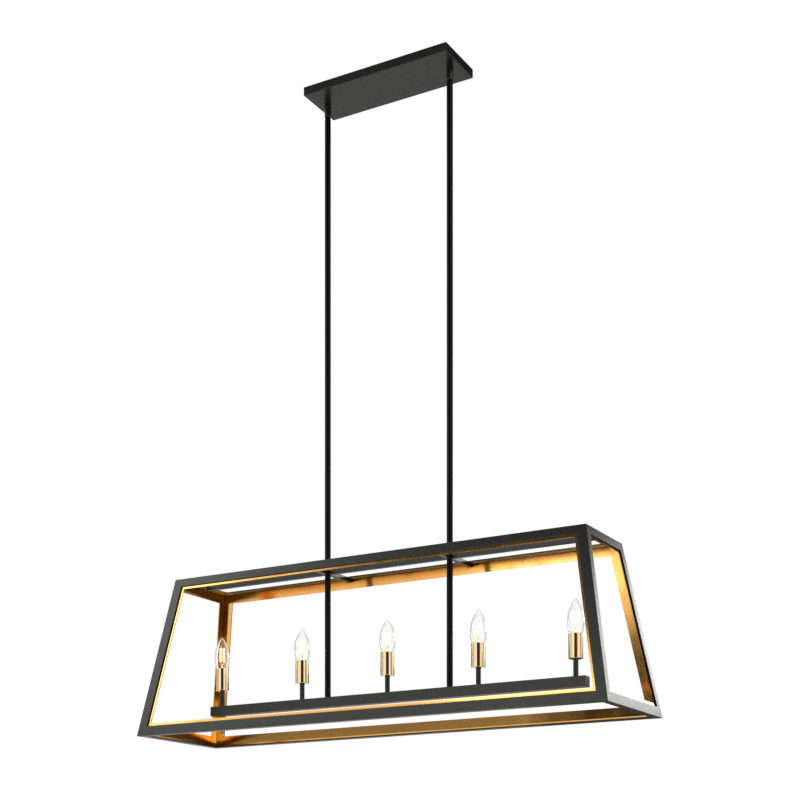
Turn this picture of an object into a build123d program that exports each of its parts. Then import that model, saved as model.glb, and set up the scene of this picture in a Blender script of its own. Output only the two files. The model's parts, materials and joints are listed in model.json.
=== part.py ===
from build123d import *
from math import cos, hypot, radians, sin
import os

# Linear island pendant: a tapered open frame of black angle bars with gold liners,
# five candle lamps on a square bar, and two rigid rods that swivel under a shallow canopy.
#
# Millimetres. The origin is in the ceiling plane, at the middle of the canopy.
# X runs along the pendant, Y across it, and Z points up.

# ------------------------------------------------------------------ driving dimensions

# Rods and what they line up with
ROD_SPACING = 285.4
ROD_DIAMETER = 12.4
ROD_WALL = 2.2
ROD_CHAMFER = 0.8
WIRE_BORE_RADIUS = 2.6          # bore of every stub, hub and nipple that a wire runs through
THREAD_ENGAGEMENT = 12.0        # length of a threaded stub inside a rod
THREAD_HOLE_CLEARANCE = 0.2     # round a thread that passes through sheet metal

# Canopy: a shallow box, open towards the ceiling
CANOPY_END_MARGIN = 22.3        # from a rod's axis to the canopy's end
CANOPY_WIDTH = 114.0
CANOPY_DEPTH = 17.0
CANOPY_WALL = 1.5

# Frame: a box of angle bars that narrows towards the top
FRAME_DROP = 960.0              # from the canopy's underside to the frame's top
FRAME_HEIGHT = 333.0
FRAME_BOTTOM_LENGTH = 1067.0
FRAME_BOTTOM_WIDTH = 276.0
FRAME_TOP_LENGTH = 940.0
FRAME_TOP_WIDTH = 175.0
ANGLE_GAUGE = 3.0
WIDE_LEG = 20.5
NARROW_LEG = 16.5
LINER_GAUGE = 2.0
LINER_REVEAL = 5.5              # how far a gold leg stands out past its black leg
LINER_MITRE_GAP = 0.6
STIFFENER_SIZE = 9.5            # square bars in the plane of the frame's top

# Light bar: a closed square tube that carries the candles
LIGHT_BAR_SIZE = 20.5
LIGHT_BAR_WALL = 1.5
LIGHT_BAR_LIFT = 50.0           # from the frame's bottom to the bar's underside
LIGHT_BAR_END_MARGIN = 24.0     # from the last candle's axis to the bar's end

# Candles
CANDLE_COUNT = 5
CANDLE_PITCH = 206.0
STEM_DIAMETER = 10.0
STEM_LENGTH = 34.0
NIPPLE_RADIUS = 4.0             # also the bore and thread radius of the rods
SLEEVE_DIAMETER = 28.0
SLEEVE_LENGTH = 47.0
SLEEVE_WALL = 1.0
NUT_SIZE = 13.0                 # across the flats
NUT_HEIGHT = 4.0
NUT_OVERHANG = 1.0              # thread left beyond a nut

# Sockets
SOCKET_DIAMETER = 20.0
SOCKET_LENGTH = 30.0
SOCKET_FLOOR = 8.0
SOCKET_THREAD_DEPTH = 6.0
SOCKET_CLEARANCE = 0.4
CONTACT_TAB_RADIUS = 2.0
CONTACT_TAB_HEIGHT = 4.5

# Candle bulbs
BASE_RADIUS = 5.9
BASE_LENGTH = 17.0
BASE_WALL = 0.5
BASE_TAPER_LENGTH = 3.0
THREAD_PITCH = 2.54
THREAD_DEPTH = 0.35
CONTACT_RADIUS = 2.5
CONTACT_HEIGHT = 2.5
GLASS_DIAMETER = 32.5
GLASS_WALL = 0.8
GLASS_NECK_RADIUS = 6.6
GLASS_LENGTH = 82.0
GLASS_WIDEST_HEIGHT = 38.0      # from the neck to the widest point
GLASS_TIP_RADIUS = 1.6
FILAMENT_COUNT = 4
FILAMENT_RADIUS = 0.9
FILAMENT_LENGTH = 31.0
FILAMENT_RING_RADIUS = 4.7
FILAMENT_START = 28.0           # from the glass's neck
SUPPORT_WIRE_RADIUS = 0.4
GLASS_POST_RADIUS = 1.6

# Ball swivels between the canopy and the rods
COLLAR_RADIUS = 6.8
COLLAR_LENGTH = 25.0
COLLAR_RIM_RADIUS = 5.9
COLLAR_TAPER_LENGTH = 4.0
BALL_RADIUS = 5.4
BALL_CLEARANCE = 0.3
BALL_FLAT_HEIGHT = 3.6
BALL_DEPTH = 19.0               # from the canopy's underside to the ball's centre
MOUTH_DEPTH = 3.5               # from the ball's centre to the narrowest point of the mouth
MOUTH_RIM_RADIUS = 5.4
BALL_NECK_RADIUS = 3.1
BALL_BORE_RADIUS = 2.3
BALL_BORE_FLARE = 0.9
ROD_GAP = 2.5                   # the waist that shows between a collar and its rod
BUSH_HEAD_SIZE = 15.0
BUSH_HEAD_HEIGHT = 4.0
BUSH_BORE_RADIUS = 3.5
BUSH_REACH = 12.0               # below the canopy's underside

# Mounting bar, screws and wires inside the canopy
BOX_SCREW_SPACING = 88.9
BOX_SLOT_LENGTH = 14.0
BOX_SLOT_WIDTH = 5.2
MOUNTING_BAR_LENGTH = 160.0
MOUNTING_BAR_WIDTH = 25.0
MOUNTING_BAR_GAUGE = 2.0
SUPPLY_HOLE_RADIUS = 6.0
CANOPY_SCREW_SPACING = 140.0
SCREW_RADIUS = 2.0
SCREW_HEAD_RADIUS = 3.5
SCREW_SOCKET_RADIUS = 1.2
SCREW_SOCKET_DEPTH = 1.0
WELD_NUT_RADIUS = 5.0
WELD_NUT_HEIGHT = 4.0
GROUND_SCREW_PLACE = (32.0, -7.0)
GROUND_HEAD_RADIUS = 4.0
GROUND_HEAD_HEIGHT = 2.4
WIRE_RADIUS = 1.0
WIRE_OFFSET = 1.05              # half the distance between the two wires of a pair
WIRE_LEVEL = 7.5                # below the ceiling, inside the canopy
SMALLEST_WIRE_BEND = 6.0
LARGEST_WIRE_BEND = 10.0
PIVOT_GAP = 1.0                 # from the pivot to the end of each wire beside it
CONNECTOR_LENGTH = 20.0
CONNECTOR_MOUTH_RADIUS = 5.0
CONNECTOR_TIP_RADIUS = 3.5
CONNECTOR_OFFSET = 8.0
CONNECTOR_DISTANCE = 30.0       # from the left rod's axis to the connectors' mouths
GROUND_WIRE_START = 18.0        # from the right rod's axis to the ground wire's first bend
GROUND_WIRE_CLIMB = 28.0        # length over which the ground wire climbs to its screw
GROUND_WIRE_END = 14.0          # from the ground screw to the end of that climb
GROUND_WIRE_SWAY = 1.0          # sideways, so that the slack wire is not ruler straight

# ------------------------------------------------------------------ places worked out from them

CANOPY_LENGTH = ROD_SPACING + 2 * CANOPY_END_MARGIN
ROD_RADIUS = ROD_DIAMETER / 2
ROD_BORE_RADIUS = ROD_RADIUS - ROD_WALL
ROD_PLACES = [-ROD_SPACING / 2, ROD_SPACING / 2]
FRAME_TOP = -CANOPY_DEPTH - FRAME_DROP
FRAME_BOTTOM = FRAME_TOP - FRAME_HEIGHT
LIGHT_BAR_BOTTOM = FRAME_BOTTOM + LIGHT_BAR_LIFT
LIGHT_BAR_TOP = LIGHT_BAR_BOTTOM + LIGHT_BAR_SIZE
LIGHT_BAR_LENGTH = (CANDLE_COUNT - 1) * CANDLE_PITCH + 2 * LIGHT_BAR_END_MARGIN
CANDLE_PLACES = [(index - (CANDLE_COUNT - 1) / 2) * CANDLE_PITCH for index in range(CANDLE_COUNT)]
SLEEVE_BOTTOM = LIGHT_BAR_TOP + STEM_LENGTH
SLEEVE_TOP = SLEEVE_BOTTOM + SLEEVE_LENGTH
SOCKET_BOTTOM = SLEEVE_BOTTOM + SLEEVE_WALL
SOCKET_TOP = SOCKET_BOTTOM + SOCKET_LENGTH
NIPPLE_TOP = SOCKET_BOTTOM + SOCKET_THREAD_DEPTH
NIPPLE_BOTTOM = LIGHT_BAR_TOP - LIGHT_BAR_WALL - NUT_HEIGHT - NUT_OVERHANG
BULB_BOTTOM = SOCKET_BOTTOM + SOCKET_FLOOR + CONTACT_TAB_HEIGHT
SHELL_BOTTOM = BULB_BOTTOM + CONTACT_HEIGHT
GLASS_BOTTOM = SHELL_BOTTOM + BASE_LENGTH
PIVOT = -CANOPY_DEPTH - BALL_DEPTH
COLLAR_BOTTOM = -CANOPY_DEPTH - COLLAR_LENGTH
ROD_TOP = COLLAR_BOTTOM - ROD_GAP
CAVITY_RADIUS = BALL_RADIUS + BALL_CLEARANCE
CANOPY_FLOOR = -CANOPY_DEPTH + CANOPY_WALL

# The frame's edges run along one of three ways, and each pair of ways spans one of its panels.
# A corner has a sign for each way: left or right, front or back, bottom or top.
ALONG, ACROSS, UPRIGHT = "along", "across", "upright"
SIDES = {-1: "left", 1: "right"}
FACES = {-1: "front", 1: "back"}
LEVELS = {-1: "bottom", 1: "top"}

os.makedirs("parts", exist_ok=True)


def save(piece, name):
    """Label a finished piece and write it to its own file."""
    piece.label = name
    export_step(piece, f"parts/{name}.step")


def upright_plane(x):
    """The upright plane through a rod's or candle's axis, with its own X as the radius."""
    return Plane(origin=(x, 0, 0), x_dir=(1, 0, 0), z_dir=(0, -1, 0))


# ------------------------------------------------------------------ tapered frame

def half_size(way, height, depth):
    """Half of the frame's length or width at one height, measured `depth` inside its panels."""
    bottom, top = {
        ALONG: (FRAME_BOTTOM_LENGTH, FRAME_TOP_LENGTH),
        ACROSS: (FRAME_BOTTOM_WIDTH, FRAME_TOP_WIDTH),
    }[way]
    taper = (bottom - top) / 2 / FRAME_HEIGHT
    return bottom / 2 - taper * (height - FRAME_BOTTOM) - depth * hypot(1, taper)


def corner(signs, depth):
    """The corner of the box that lies `depth` inside the frame's outer panels."""
    height = FRAME_BOTTOM + depth if signs[UPRIGHT] < 0 else FRAME_TOP - depth
    x = signs[ALONG] * half_size(ALONG, height, depth)
    y = signs[ACROSS] * half_size(ACROSS, height, depth)
    return Vector(x, y, height)


def opposite_corner(signs, way):
    """The signs of the corner at the other end of one edge."""
    return {other: -sign if other == way else sign for other, sign in signs.items()}


def edge_direction(signs, way, depth):
    """The unit direction from a corner along one of its three edges."""
    far_end = corner(opposite_corner(signs, way), depth)
    return (far_end - corner(signs, depth)).normalized()


def black_leg(way, towards, level):
    """Width of the outer bar's leg along `way` that lies towards another way."""
    if way == UPRIGHT:
        return WIDE_LEG if towards == ALONG else NARROW_LEG
    stands_up = towards == UPRIGHT
    at_bottom = level < 0
    return WIDE_LEG if stands_up == at_bottom else NARROW_LEG


def liner_leg(way, towards, level):
    """Width of the gold leg nested inside, which shows past every leg but the flat ones."""
    lies_flat = UPRIGHT not in (way, towards)
    reveal = 0 if lies_flat else LINER_REVEAL
    return black_leg(way, towards, level) - ANGLE_GAUGE + reveal


def mitre_plane(signs, way, towards, depth, gauge, leg, gap):
    """The plane that parts a bar from its neighbour in one panel, facing the bar."""
    here = corner(signs, depth)
    along = edge_direction(signs, way, depth)
    across = edge_direction(signs, towards, depth)
    level = signs[UPRIGHT]
    spread = along.cross(across).length
    window = here
    window += along * (leg(towards, way, level) / spread)
    window += across * (leg(way, towards, level) / spread)
    inside = corner(signs, depth + gauge)
    normal = (window - here).cross(inside - here).normalized()
    if normal.dot(along) < 0:
        normal = normal * -1
    return Plane(origin=here + normal * (gap / 2), z_dir=normal)


def angle_bar(signs, way, legs_towards, depth, gauge, leg, gap=0.0):
    """One bar of angle, or of flat strip, along a frame edge, mitred at both ends.

    `legs_towards` gives the ways its legs point. A strip has one leg and keeps
    its corner face in the plane of the missing one.
    """
    start = corner(signs, depth)
    far_signs = opposite_corner(signs, way)
    end = corner(far_signs, depth)
    along = (end - start).normalized()
    middle = (start + end) * 0.5
    level = signs[UPRIGHT]

    first = legs_towards[0]
    second = [other for other in signs if other not in (way, first)][0]
    arms = []
    for towards in (first, second):
        slanted = edge_direction(signs, towards, depth)
        arms.append((slanted - along * slanted.dot(along)).normalized())
    spread = arms[0].cross(arms[1]).length
    insides = [
        (arms[1] - arms[0] * arms[0].dot(arms[1])).normalized(),
        (arms[0] - arms[1] * arms[0].dot(arms[1])).normalized(),
    ]
    wide = leg(way, first, level)
    outline = [Vector(0, 0, 0), arms[0] * wide, arms[0] * wide + insides[0] * gauge]
    if len(legs_towards) == 2:
        tall = leg(way, second, level)
        outline.append((arms[0] + arms[1]) * (gauge / spread))
        outline.append(arms[1] * tall + insides[1] * gauge)
        outline.append(arms[1] * tall)
    else:
        outline.append(arms[1] * (gauge / spread))

    section = Plane(origin=middle, x_dir=arms[0], z_dir=along)
    with BuildPart() as bar:
        with BuildSketch(section):
            with BuildLine():
                Polyline([section.to_local_coords(middle + point) for point in outline], close=True)
            make_face()
        extrude(amount=(end - start).length, both=True)
        for end_signs in (signs, far_signs):
            for towards in (first, second):
                cut = mitre_plane(end_signs, way, towards, depth, gauge, leg, gap)
                split(bisect_by=cut, keep=Keep.TOP)
    return bar.part


def black_bar(signs, way):
    """One outer bar of black angle."""
    towards = [other for other in (UPRIGHT, ALONG, ACROSS) if other != way]
    return angle_bar(signs, way, towards, 0, ANGLE_GAUGE, black_leg)


def gold_bar(signs, way, legs_towards):
    """One gold liner bar, nested against the inside of its black bar."""
    return angle_bar(signs, way, legs_towards, ANGLE_GAUGE, LINER_GAUGE, liner_leg, LINER_MITRE_GAP)


def post_start(side, face):
    """The corner that an upright bar starts from."""
    return {ALONG: side, ACROSS: face, UPRIGHT: -1}


def long_rail_start(face, level):
    """The corner that a front or back bar starts from."""
    return {ALONG: -1, ACROSS: face, UPRIGHT: level}


def end_rail_start(side, level):
    """The corner that a bar across one end starts from."""
    return {ALONG: side, ACROSS: -1, UPRIGHT: level}


for side, side_name in SIDES.items():
    for face, face_name in FACES.items():
        save(black_bar(post_start(side, face), UPRIGHT), f"post_{face_name}_{side_name}")

for level, level_name in LEVELS.items():
    for face, face_name in FACES.items():
        save(black_bar(long_rail_start(face, level), ALONG), f"{level_name}_rail_{face_name}")
    for side, side_name in SIDES.items():
        save(black_bar(end_rail_start(side, level), ACROSS), f"{level_name}_rail_{side_name}")

post_liners = [
    gold_bar(post_start(side, face), UPRIGHT, [ALONG, ACROSS]) for side in SIDES for face in FACES
]
top_liners = [gold_bar(long_rail_start(face, 1), ALONG, [UPRIGHT]) for face in FACES]
top_liners += [gold_bar(end_rail_start(side, 1), ACROSS, [UPRIGHT]) for side in SIDES]
bottom_liners = [gold_bar(long_rail_start(face, -1), ALONG, [UPRIGHT, ACROSS]) for face in FACES]
bottom_liners += [gold_bar(end_rail_start(side, -1), ACROSS, [UPRIGHT, ALONG]) for side in SIDES]

with BuildPart() as gold_post_liners:
    add(post_liners)
save(gold_post_liners.part, "gold_post_liners")

with BuildPart() as gold_top_liners:
    add(top_liners)
save(gold_top_liners.part, "gold_top_liners")

with BuildPart() as gold_bottom_liners:
    add(bottom_liners)
save(gold_bottom_liners.part, "gold_bottom_liners")

# Stiffeners in the plane of the frame's top. The long one butts against the end flanges.
# The cross bars are notched round the side flanges and reach the gold strips.
STIFFENER_BOTTOM = FRAME_TOP - STIFFENER_SIZE
FLANGE_BOTTOM = FRAME_TOP - ANGLE_GAUGE
LINER_DEPTH = ANGLE_GAUGE + LINER_GAUGE

with BuildPart() as top_centre_bar:
    with BuildSketch(Plane.XY.offset(STIFFENER_BOTTOM)):
        Rectangle(FRAME_TOP_LENGTH - 2 * WIDE_LEG, STIFFENER_SIZE)
        with Locations(*[(x, 0) for x in ROD_PLACES]):
            Circle(ROD_RADIUS, mode=Mode.SUBTRACT)
    extrude(amount=STIFFENER_SIZE)
save(top_centre_bar.part, "top_centre_bar")

flange_edge = FRAME_TOP_WIDTH / 2 - WIDE_LEG
notch_reach = half_size(ACROSS, FLANGE_BOTTOM, LINER_DEPTH)
bar_reach = half_size(ACROSS, STIFFENER_BOTTOM, LINER_DEPTH)
cross_bar_half = [
    (0, FRAME_TOP),
    (flange_edge, FRAME_TOP),
    (flange_edge, FLANGE_BOTTOM),
    (notch_reach, FLANGE_BOTTOM),
    (bar_reach, STIFFENER_BOTTOM),
    (0, STIFFENER_BOTTOM),
]
with BuildPart() as cross_bars:
    for x in ROD_PLACES:
        with BuildSketch(Plane(origin=(x, 0, 0), x_dir=(0, 1, 0), z_dir=(1, 0, 0))):
            with BuildLine():
                Polyline(cross_bar_half, close=True)
            make_face()
            mirror(about=Plane.YZ)
    extrude(amount=STIFFENER_SIZE / 2, both=True)
    with BuildSketch(Plane.XY.offset(STIFFENER_BOTTOM)):
        with Locations(*[(x, 0) for x in ROD_PLACES]):
            Circle(ROD_RADIUS)
            Rectangle(2 * ROD_RADIUS, STIFFENER_SIZE)
    extrude(amount=STIFFENER_SIZE, mode=Mode.SUBTRACT)
save(cross_bars.part, "cross_bars")

# ------------------------------------------------------------------ rods and hubs

rod_points = [(x, 0) for x in ROD_PLACES]

with BuildPart() as rod_hubs:
    with BuildSketch(Plane.XY.offset(STIFFENER_BOTTOM)):
        with Locations(*rod_points):
            Circle(ROD_RADIUS)
    extrude(amount=STIFFENER_SIZE)
    with BuildSketch(Plane.XY.offset(STIFFENER_BOTTOM - THREAD_ENGAGEMENT)):
        with Locations(*rod_points):
            Circle(ROD_BORE_RADIUS)
    extrude(amount=STIFFENER_SIZE + 2 * THREAD_ENGAGEMENT)
    with BuildSketch(Plane.XY.offset(STIFFENER_BOTTOM - THREAD_ENGAGEMENT)):
        with Locations(*rod_points):
            Circle(WIRE_BORE_RADIUS)
    extrude(amount=STIFFENER_SIZE + 2 * THREAD_ENGAGEMENT, mode=Mode.SUBTRACT)
save(rod_hubs.part, "rod_hubs")


def down_rod(x):
    """The long tube from a swivel down to the frame's top."""
    with BuildPart() as rod:
        with BuildSketch(Plane.XY.offset(FRAME_TOP)):
            with Locations((x, 0)):
                Circle(ROD_RADIUS)
                Circle(ROD_BORE_RADIUS, mode=Mode.SUBTRACT)
        extrude(amount=ROD_TOP - FRAME_TOP)
        top_edges = rod.faces().sort_by(Axis.Z)[-1].edges()
        chamfer(top_edges.sort_by(SortBy.RADIUS)[-1], length=ROD_CHAMFER)
    return rod.part


def inner_rod(x):
    """The tube from a hub down to the light bar, with a threaded spigot through the bar's wall."""
    with BuildPart() as rod:
        with BuildSketch(Plane.XY.offset(LIGHT_BAR_TOP)):
            with Locations((x, 0)):
                Circle(ROD_RADIUS)
        extrude(amount=STIFFENER_BOTTOM - LIGHT_BAR_TOP)
        with BuildSketch(Plane.XY.offset(LIGHT_BAR_TOP + THREAD_ENGAGEMENT)):
            with Locations((x, 0)):
                Circle(ROD_BORE_RADIUS)
        extrude(amount=STIFFENER_BOTTOM - LIGHT_BAR_TOP - THREAD_ENGAGEMENT, mode=Mode.SUBTRACT)
        with BuildSketch(Plane.XY.offset(NIPPLE_BOTTOM)):
            with Locations((x, 0)):
                Circle(NIPPLE_RADIUS)
        extrude(amount=LIGHT_BAR_TOP - NIPPLE_BOTTOM)
        with BuildSketch(Plane.XY.offset(NIPPLE_BOTTOM)):
            with Locations((x, 0)):
                Circle(WIRE_BORE_RADIUS)
        extrude(amount=LIGHT_BAR_TOP + THREAD_ENGAGEMENT - NIPPLE_BOTTOM, mode=Mode.SUBTRACT)
    return rod.part


for x, side_name in zip(ROD_PLACES, SIDES.values()):
    save(down_rod(x), f"down_rod_{side_name}")
    save(inner_rod(x), f"inner_rod_{side_name}")

# ------------------------------------------------------------------ light bar

CAP_GAUGE = LIGHT_BAR_WALL
threaded_points = [(x, 0) for x in CANDLE_PLACES + ROD_PLACES]
candle_points = [(x, 0) for x in CANDLE_PLACES]
bar_section = Plane(
    origin=(0, 0, LIGHT_BAR_BOTTOM + LIGHT_BAR_SIZE / 2), x_dir=(0, 1, 0), z_dir=(1, 0, 0)
)

with BuildPart() as light_bar:
    with BuildSketch(bar_section):
        Rectangle(LIGHT_BAR_SIZE, LIGHT_BAR_SIZE)
        offset(amount=-LIGHT_BAR_WALL, kind=Kind.INTERSECTION, mode=Mode.SUBTRACT)
    extrude(amount=LIGHT_BAR_LENGTH / 2 - CAP_GAUGE, both=True)
    with BuildSketch(Plane.XY.offset(LIGHT_BAR_TOP)):
        with Locations(*threaded_points):
            Circle(NIPPLE_RADIUS + THREAD_HOLE_CLEARANCE)
    extrude(amount=-LIGHT_BAR_WALL, mode=Mode.SUBTRACT)
save(light_bar.part, "light_bar")

with BuildPart() as light_bar_caps:
    for end in (-1, 1):
        with BuildSketch(bar_section.offset(end * (LIGHT_BAR_LENGTH - CAP_GAUGE) / 2)):
            Rectangle(LIGHT_BAR_SIZE, LIGHT_BAR_SIZE)
    extrude(amount=CAP_GAUGE / 2, both=True)
save(light_bar_caps.part, "light_bar_caps")

with BuildPart() as bar_nuts:
    with BuildSketch(Plane.XY.offset(LIGHT_BAR_TOP - LIGHT_BAR_WALL)):
        with Locations(*threaded_points):
            RegularPolygon(NUT_SIZE / 2, 6, major_radius=False)
            Circle(NIPPLE_RADIUS, mode=Mode.SUBTRACT)
    extrude(amount=-NUT_HEIGHT)
save(bar_nuts.part, "bar_nuts")

# ------------------------------------------------------------------ candles

with BuildPart() as candle_nipples:
    with BuildSketch(Plane.XY.offset(NIPPLE_BOTTOM)):
        with Locations(*candle_points):
            Circle(NIPPLE_RADIUS)
            Circle(WIRE_BORE_RADIUS, mode=Mode.SUBTRACT)
    extrude(amount=NIPPLE_TOP - NIPPLE_BOTTOM)
save(candle_nipples.part, "candle_nipples")

with BuildPart() as candle_stems:
    with BuildSketch(Plane.XY.offset(LIGHT_BAR_TOP)):
        with Locations(*candle_points):
            Circle(STEM_DIAMETER / 2)
            Circle(NIPPLE_RADIUS, mode=Mode.SUBTRACT)
    extrude(amount=STEM_LENGTH)
save(candle_stems.part, "candle_stems")

with BuildPart() as candle_sleeves:
    with BuildSketch(Plane.XY.offset(SLEEVE_BOTTOM)):
        with Locations(*candle_points):
            Circle(SLEEVE_DIAMETER / 2)
    extrude(amount=SLEEVE_LENGTH)
    with BuildSketch(Plane.XY.offset(SOCKET_BOTTOM)):
        with Locations(*candle_points):
            Circle(SLEEVE_DIAMETER / 2 - SLEEVE_WALL)
    extrude(amount=SLEEVE_LENGTH - SLEEVE_WALL, mode=Mode.SUBTRACT)
    with BuildSketch(Plane.XY.offset(SLEEVE_BOTTOM)):
        with Locations(*candle_points):
            Circle(NIPPLE_RADIUS)
    extrude(amount=SLEEVE_WALL, mode=Mode.SUBTRACT)
save(candle_sleeves.part, "candle_sleeves")

with BuildPart() as sockets:
    with BuildSketch(Plane.XY.offset(SOCKET_BOTTOM)):
        with Locations(*candle_points):
            Circle(SOCKET_DIAMETER / 2)
    extrude(amount=SOCKET_LENGTH)
    with BuildSketch(Plane.XY.offset(SOCKET_BOTTOM)):
        with Locations(*candle_points):
            Circle(NIPPLE_RADIUS)
    extrude(amount=SOCKET_THREAD_DEPTH, mode=Mode.SUBTRACT)
    with BuildSketch(Plane.XY.offset(SOCKET_BOTTOM + SOCKET_FLOOR)):
        with Locations(*candle_points):
            Circle(BASE_RADIUS + SOCKET_CLEARANCE)
            Circle(CONTACT_TAB_RADIUS, mode=Mode.SUBTRACT)
    extrude(amount=SOCKET_LENGTH - SOCKET_FLOOR, mode=Mode.SUBTRACT)
    with BuildSketch(Plane.XY.offset(BULB_BOTTOM)):
        with Locations(*candle_points):
            Circle(CONTACT_TAB_RADIUS)
    extrude(amount=SOCKET_TOP - BULB_BOTTOM, mode=Mode.SUBTRACT)
save(sockets.part, "sockets")

# ------------------------------------------------------------------ candle bulbs


def bulb_contact(x):
    """The solder contact under a bulb's base."""
    with BuildPart() as contact:
        with BuildSketch(Plane.XY.offset(BULB_BOTTOM)):
            with Locations((x, 0)):
                Circle(CONTACT_RADIUS)
        extrude(amount=CONTACT_HEIGHT)
        chamfer(contact.faces().sort_by(Axis.Z)[0].edges(), length=CONTACT_HEIGHT / 4)
    return contact.part


def bulb_base(x):
    """The screw base: a cup with a rolled thread, closed by its insulator."""
    thread_start = SHELL_BOTTOM + BASE_TAPER_LENGTH
    core = BASE_RADIUS - THREAD_DEPTH
    turns = int((BASE_LENGTH - BASE_TAPER_LENGTH) / THREAD_PITCH) - 1
    profile = [(0, SHELL_BOTTOM), (CONTACT_RADIUS, SHELL_BOTTOM), (core, thread_start)]
    for turn in range(turns):
        root = thread_start + turn * THREAD_PITCH
        profile.append((BASE_RADIUS, root + THREAD_PITCH / 2))
        profile.append((core, root + THREAD_PITCH))
    profile += [
        (core, GLASS_BOTTOM),
        (core - BASE_WALL, GLASS_BOTTOM),
        (core - BASE_WALL, thread_start),
        (0, thread_start),
    ]
    with BuildPart() as base:
        with BuildSketch(upright_plane(x)):
            with BuildLine():
                Polyline(profile, close=True)
            make_face()
        revolve(axis=Axis((x, 0, 0), (0, 0, 1)))
    return base.part


def glass_outline(inset):
    """The bulb's side from neck to tip as three tangent arcs, `inset` inside its outer face."""
    widest = GLASS_DIAMETER / 2
    belly = GLASS_BOTTOM + GLASS_WIDEST_HEIGHT
    tip = GLASS_BOTTOM + GLASS_LENGTH
    rise = tip - GLASS_TIP_RADIUS - belly
    reach = widest - GLASS_TIP_RADIUS
    upper_radius = (rise * rise + reach * reach) / (2 * reach)
    upper_centre = widest - upper_radius
    lean = radians(Vector(-upper_centre, rise, 0).get_angle(Vector(1, 0, 0)))
    drop = belly - GLASS_BOTTOM
    shrink = widest - GLASS_NECK_RADIUS
    lower_radius = (drop * drop + shrink * shrink) / (2 * shrink)
    lower_centre = widest - lower_radius
    half_drop = radians(Vector(GLASS_NECK_RADIUS - lower_centre, drop, 0).get_angle(Vector(1, 0, 0))) / 2
    neck = (GLASS_NECK_RADIUS - inset, GLASS_BOTTOM)
    lower_middle = (
        lower_centre + (lower_radius - inset) * cos(half_drop),
        belly - (lower_radius - inset) * sin(half_drop),
    )
    upper_middle = (
        upper_centre + (upper_radius - inset) * cos(lean / 2),
        belly + (upper_radius - inset) * sin(lean / 2),
    )
    shoulder = (
        upper_centre + (upper_radius - inset) * cos(lean),
        belly + (upper_radius - inset) * sin(lean),
    )
    return neck, lower_middle, (widest - inset, belly), upper_middle, shoulder, (0, tip - inset)


def bulb_glass(x):
    """The clear torpedo envelope, open at its neck."""
    with BuildPart() as glass:
        for inset, mode in ((0, Mode.ADD), (GLASS_WALL, Mode.SUBTRACT)):
            neck, lower_middle, belly, upper_middle, shoulder, tip = glass_outline(inset)
            with BuildSketch(upright_plane(x)):
                with BuildLine():
                    Line((0, neck[1]), neck)
                    ThreePointArc(neck, lower_middle, belly)
                    ThreePointArc(belly, upper_middle, shoulder)
                    Line(shoulder, tip)
                    Line(tip, (0, neck[1]))
                make_face()
            revolve(axis=Axis((x, 0, 0), (0, 0, 1)), mode=mode)
    return glass.part


def bulb_filament(x):
    """The glass mount that closes the neck, and a ring of filaments on thin wires above it."""
    start = GLASS_BOTTOM + FILAMENT_START
    end = start + FILAMENT_LENGTH
    with BuildPart() as mount:
        with BuildSketch(Plane.XY.offset(GLASS_BOTTOM)):
            with Locations((x, 0)):
                Circle(BASE_RADIUS - THREAD_DEPTH - BASE_WALL)
        extrude(amount=GLASS_WALL)
        with BuildSketch(Plane.XY.offset(GLASS_BOTTOM)):
            with Locations((x, 0)):
                Circle(GLASS_POST_RADIUS)
        extrude(amount=start - GLASS_BOTTOM)
        with BuildSketch(Plane.XY.offset(start)):
            with Locations((x, 0)):
                with PolarLocations(FILAMENT_RING_RADIUS, FILAMENT_COUNT):
                    Circle(FILAMENT_RADIUS)
        extrude(amount=FILAMENT_LENGTH)
        for level in (start, end):
            with BuildSketch(Plane.XY.offset(level)):
                with Locations((x, 0)):
                    Circle(2 * SUPPORT_WIRE_RADIUS)
                    with PolarLocations(FILAMENT_RING_RADIUS / 2, FILAMENT_COUNT):
                        Rectangle(FILAMENT_RING_RADIUS, 2 * SUPPORT_WIRE_RADIUS)
            extrude(amount=SUPPORT_WIRE_RADIUS, both=True)
    return mount.part


for number, x in enumerate(CANDLE_PLACES, start=1):
    save(bulb_contact(x), f"bulb_contact_{number}")
    save(bulb_base(x), f"bulb_base_{number}")
    save(bulb_glass(x), f"bulb_glass_{number}")
    save(bulb_filament(x), f"bulb_filament_{number}")

# ------------------------------------------------------------------ ball swivels


mouth_radius = (CAVITY_RADIUS**2 - MOUTH_DEPTH**2) ** 0.5
mouth_angle = radians(Vector(mouth_radius, -MOUTH_DEPTH, 0).get_angle(Vector(1, 0, 0)))
cavity_middle = (
    CAVITY_RADIUS * cos(mouth_angle / 2),
    PIVOT - CAVITY_RADIUS * sin(mouth_angle / 2),
)

with BuildPart() as swivel_collars:
    for x in ROD_PLACES:
        with BuildSketch(upright_plane(x)):
            with BuildLine():
                Polyline(
                    (CAVITY_RADIUS, PIVOT),
                    (CAVITY_RADIUS, -CANOPY_DEPTH),
                    (COLLAR_RADIUS, -CANOPY_DEPTH),
                    (COLLAR_RADIUS, COLLAR_BOTTOM + COLLAR_TAPER_LENGTH),
                    (COLLAR_RIM_RADIUS, COLLAR_BOTTOM),
                    (MOUTH_RIM_RADIUS, COLLAR_BOTTOM),
                    (mouth_radius, PIVOT - MOUTH_DEPTH),
                )
                ThreePointArc((mouth_radius, PIVOT - MOUTH_DEPTH), cavity_middle, (CAVITY_RADIUS, PIVOT))
            make_face()
        revolve(axis=Axis((x, 0, 0), (0, 0, 1)))
save(swivel_collars.part, "swivel_collars")

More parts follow.
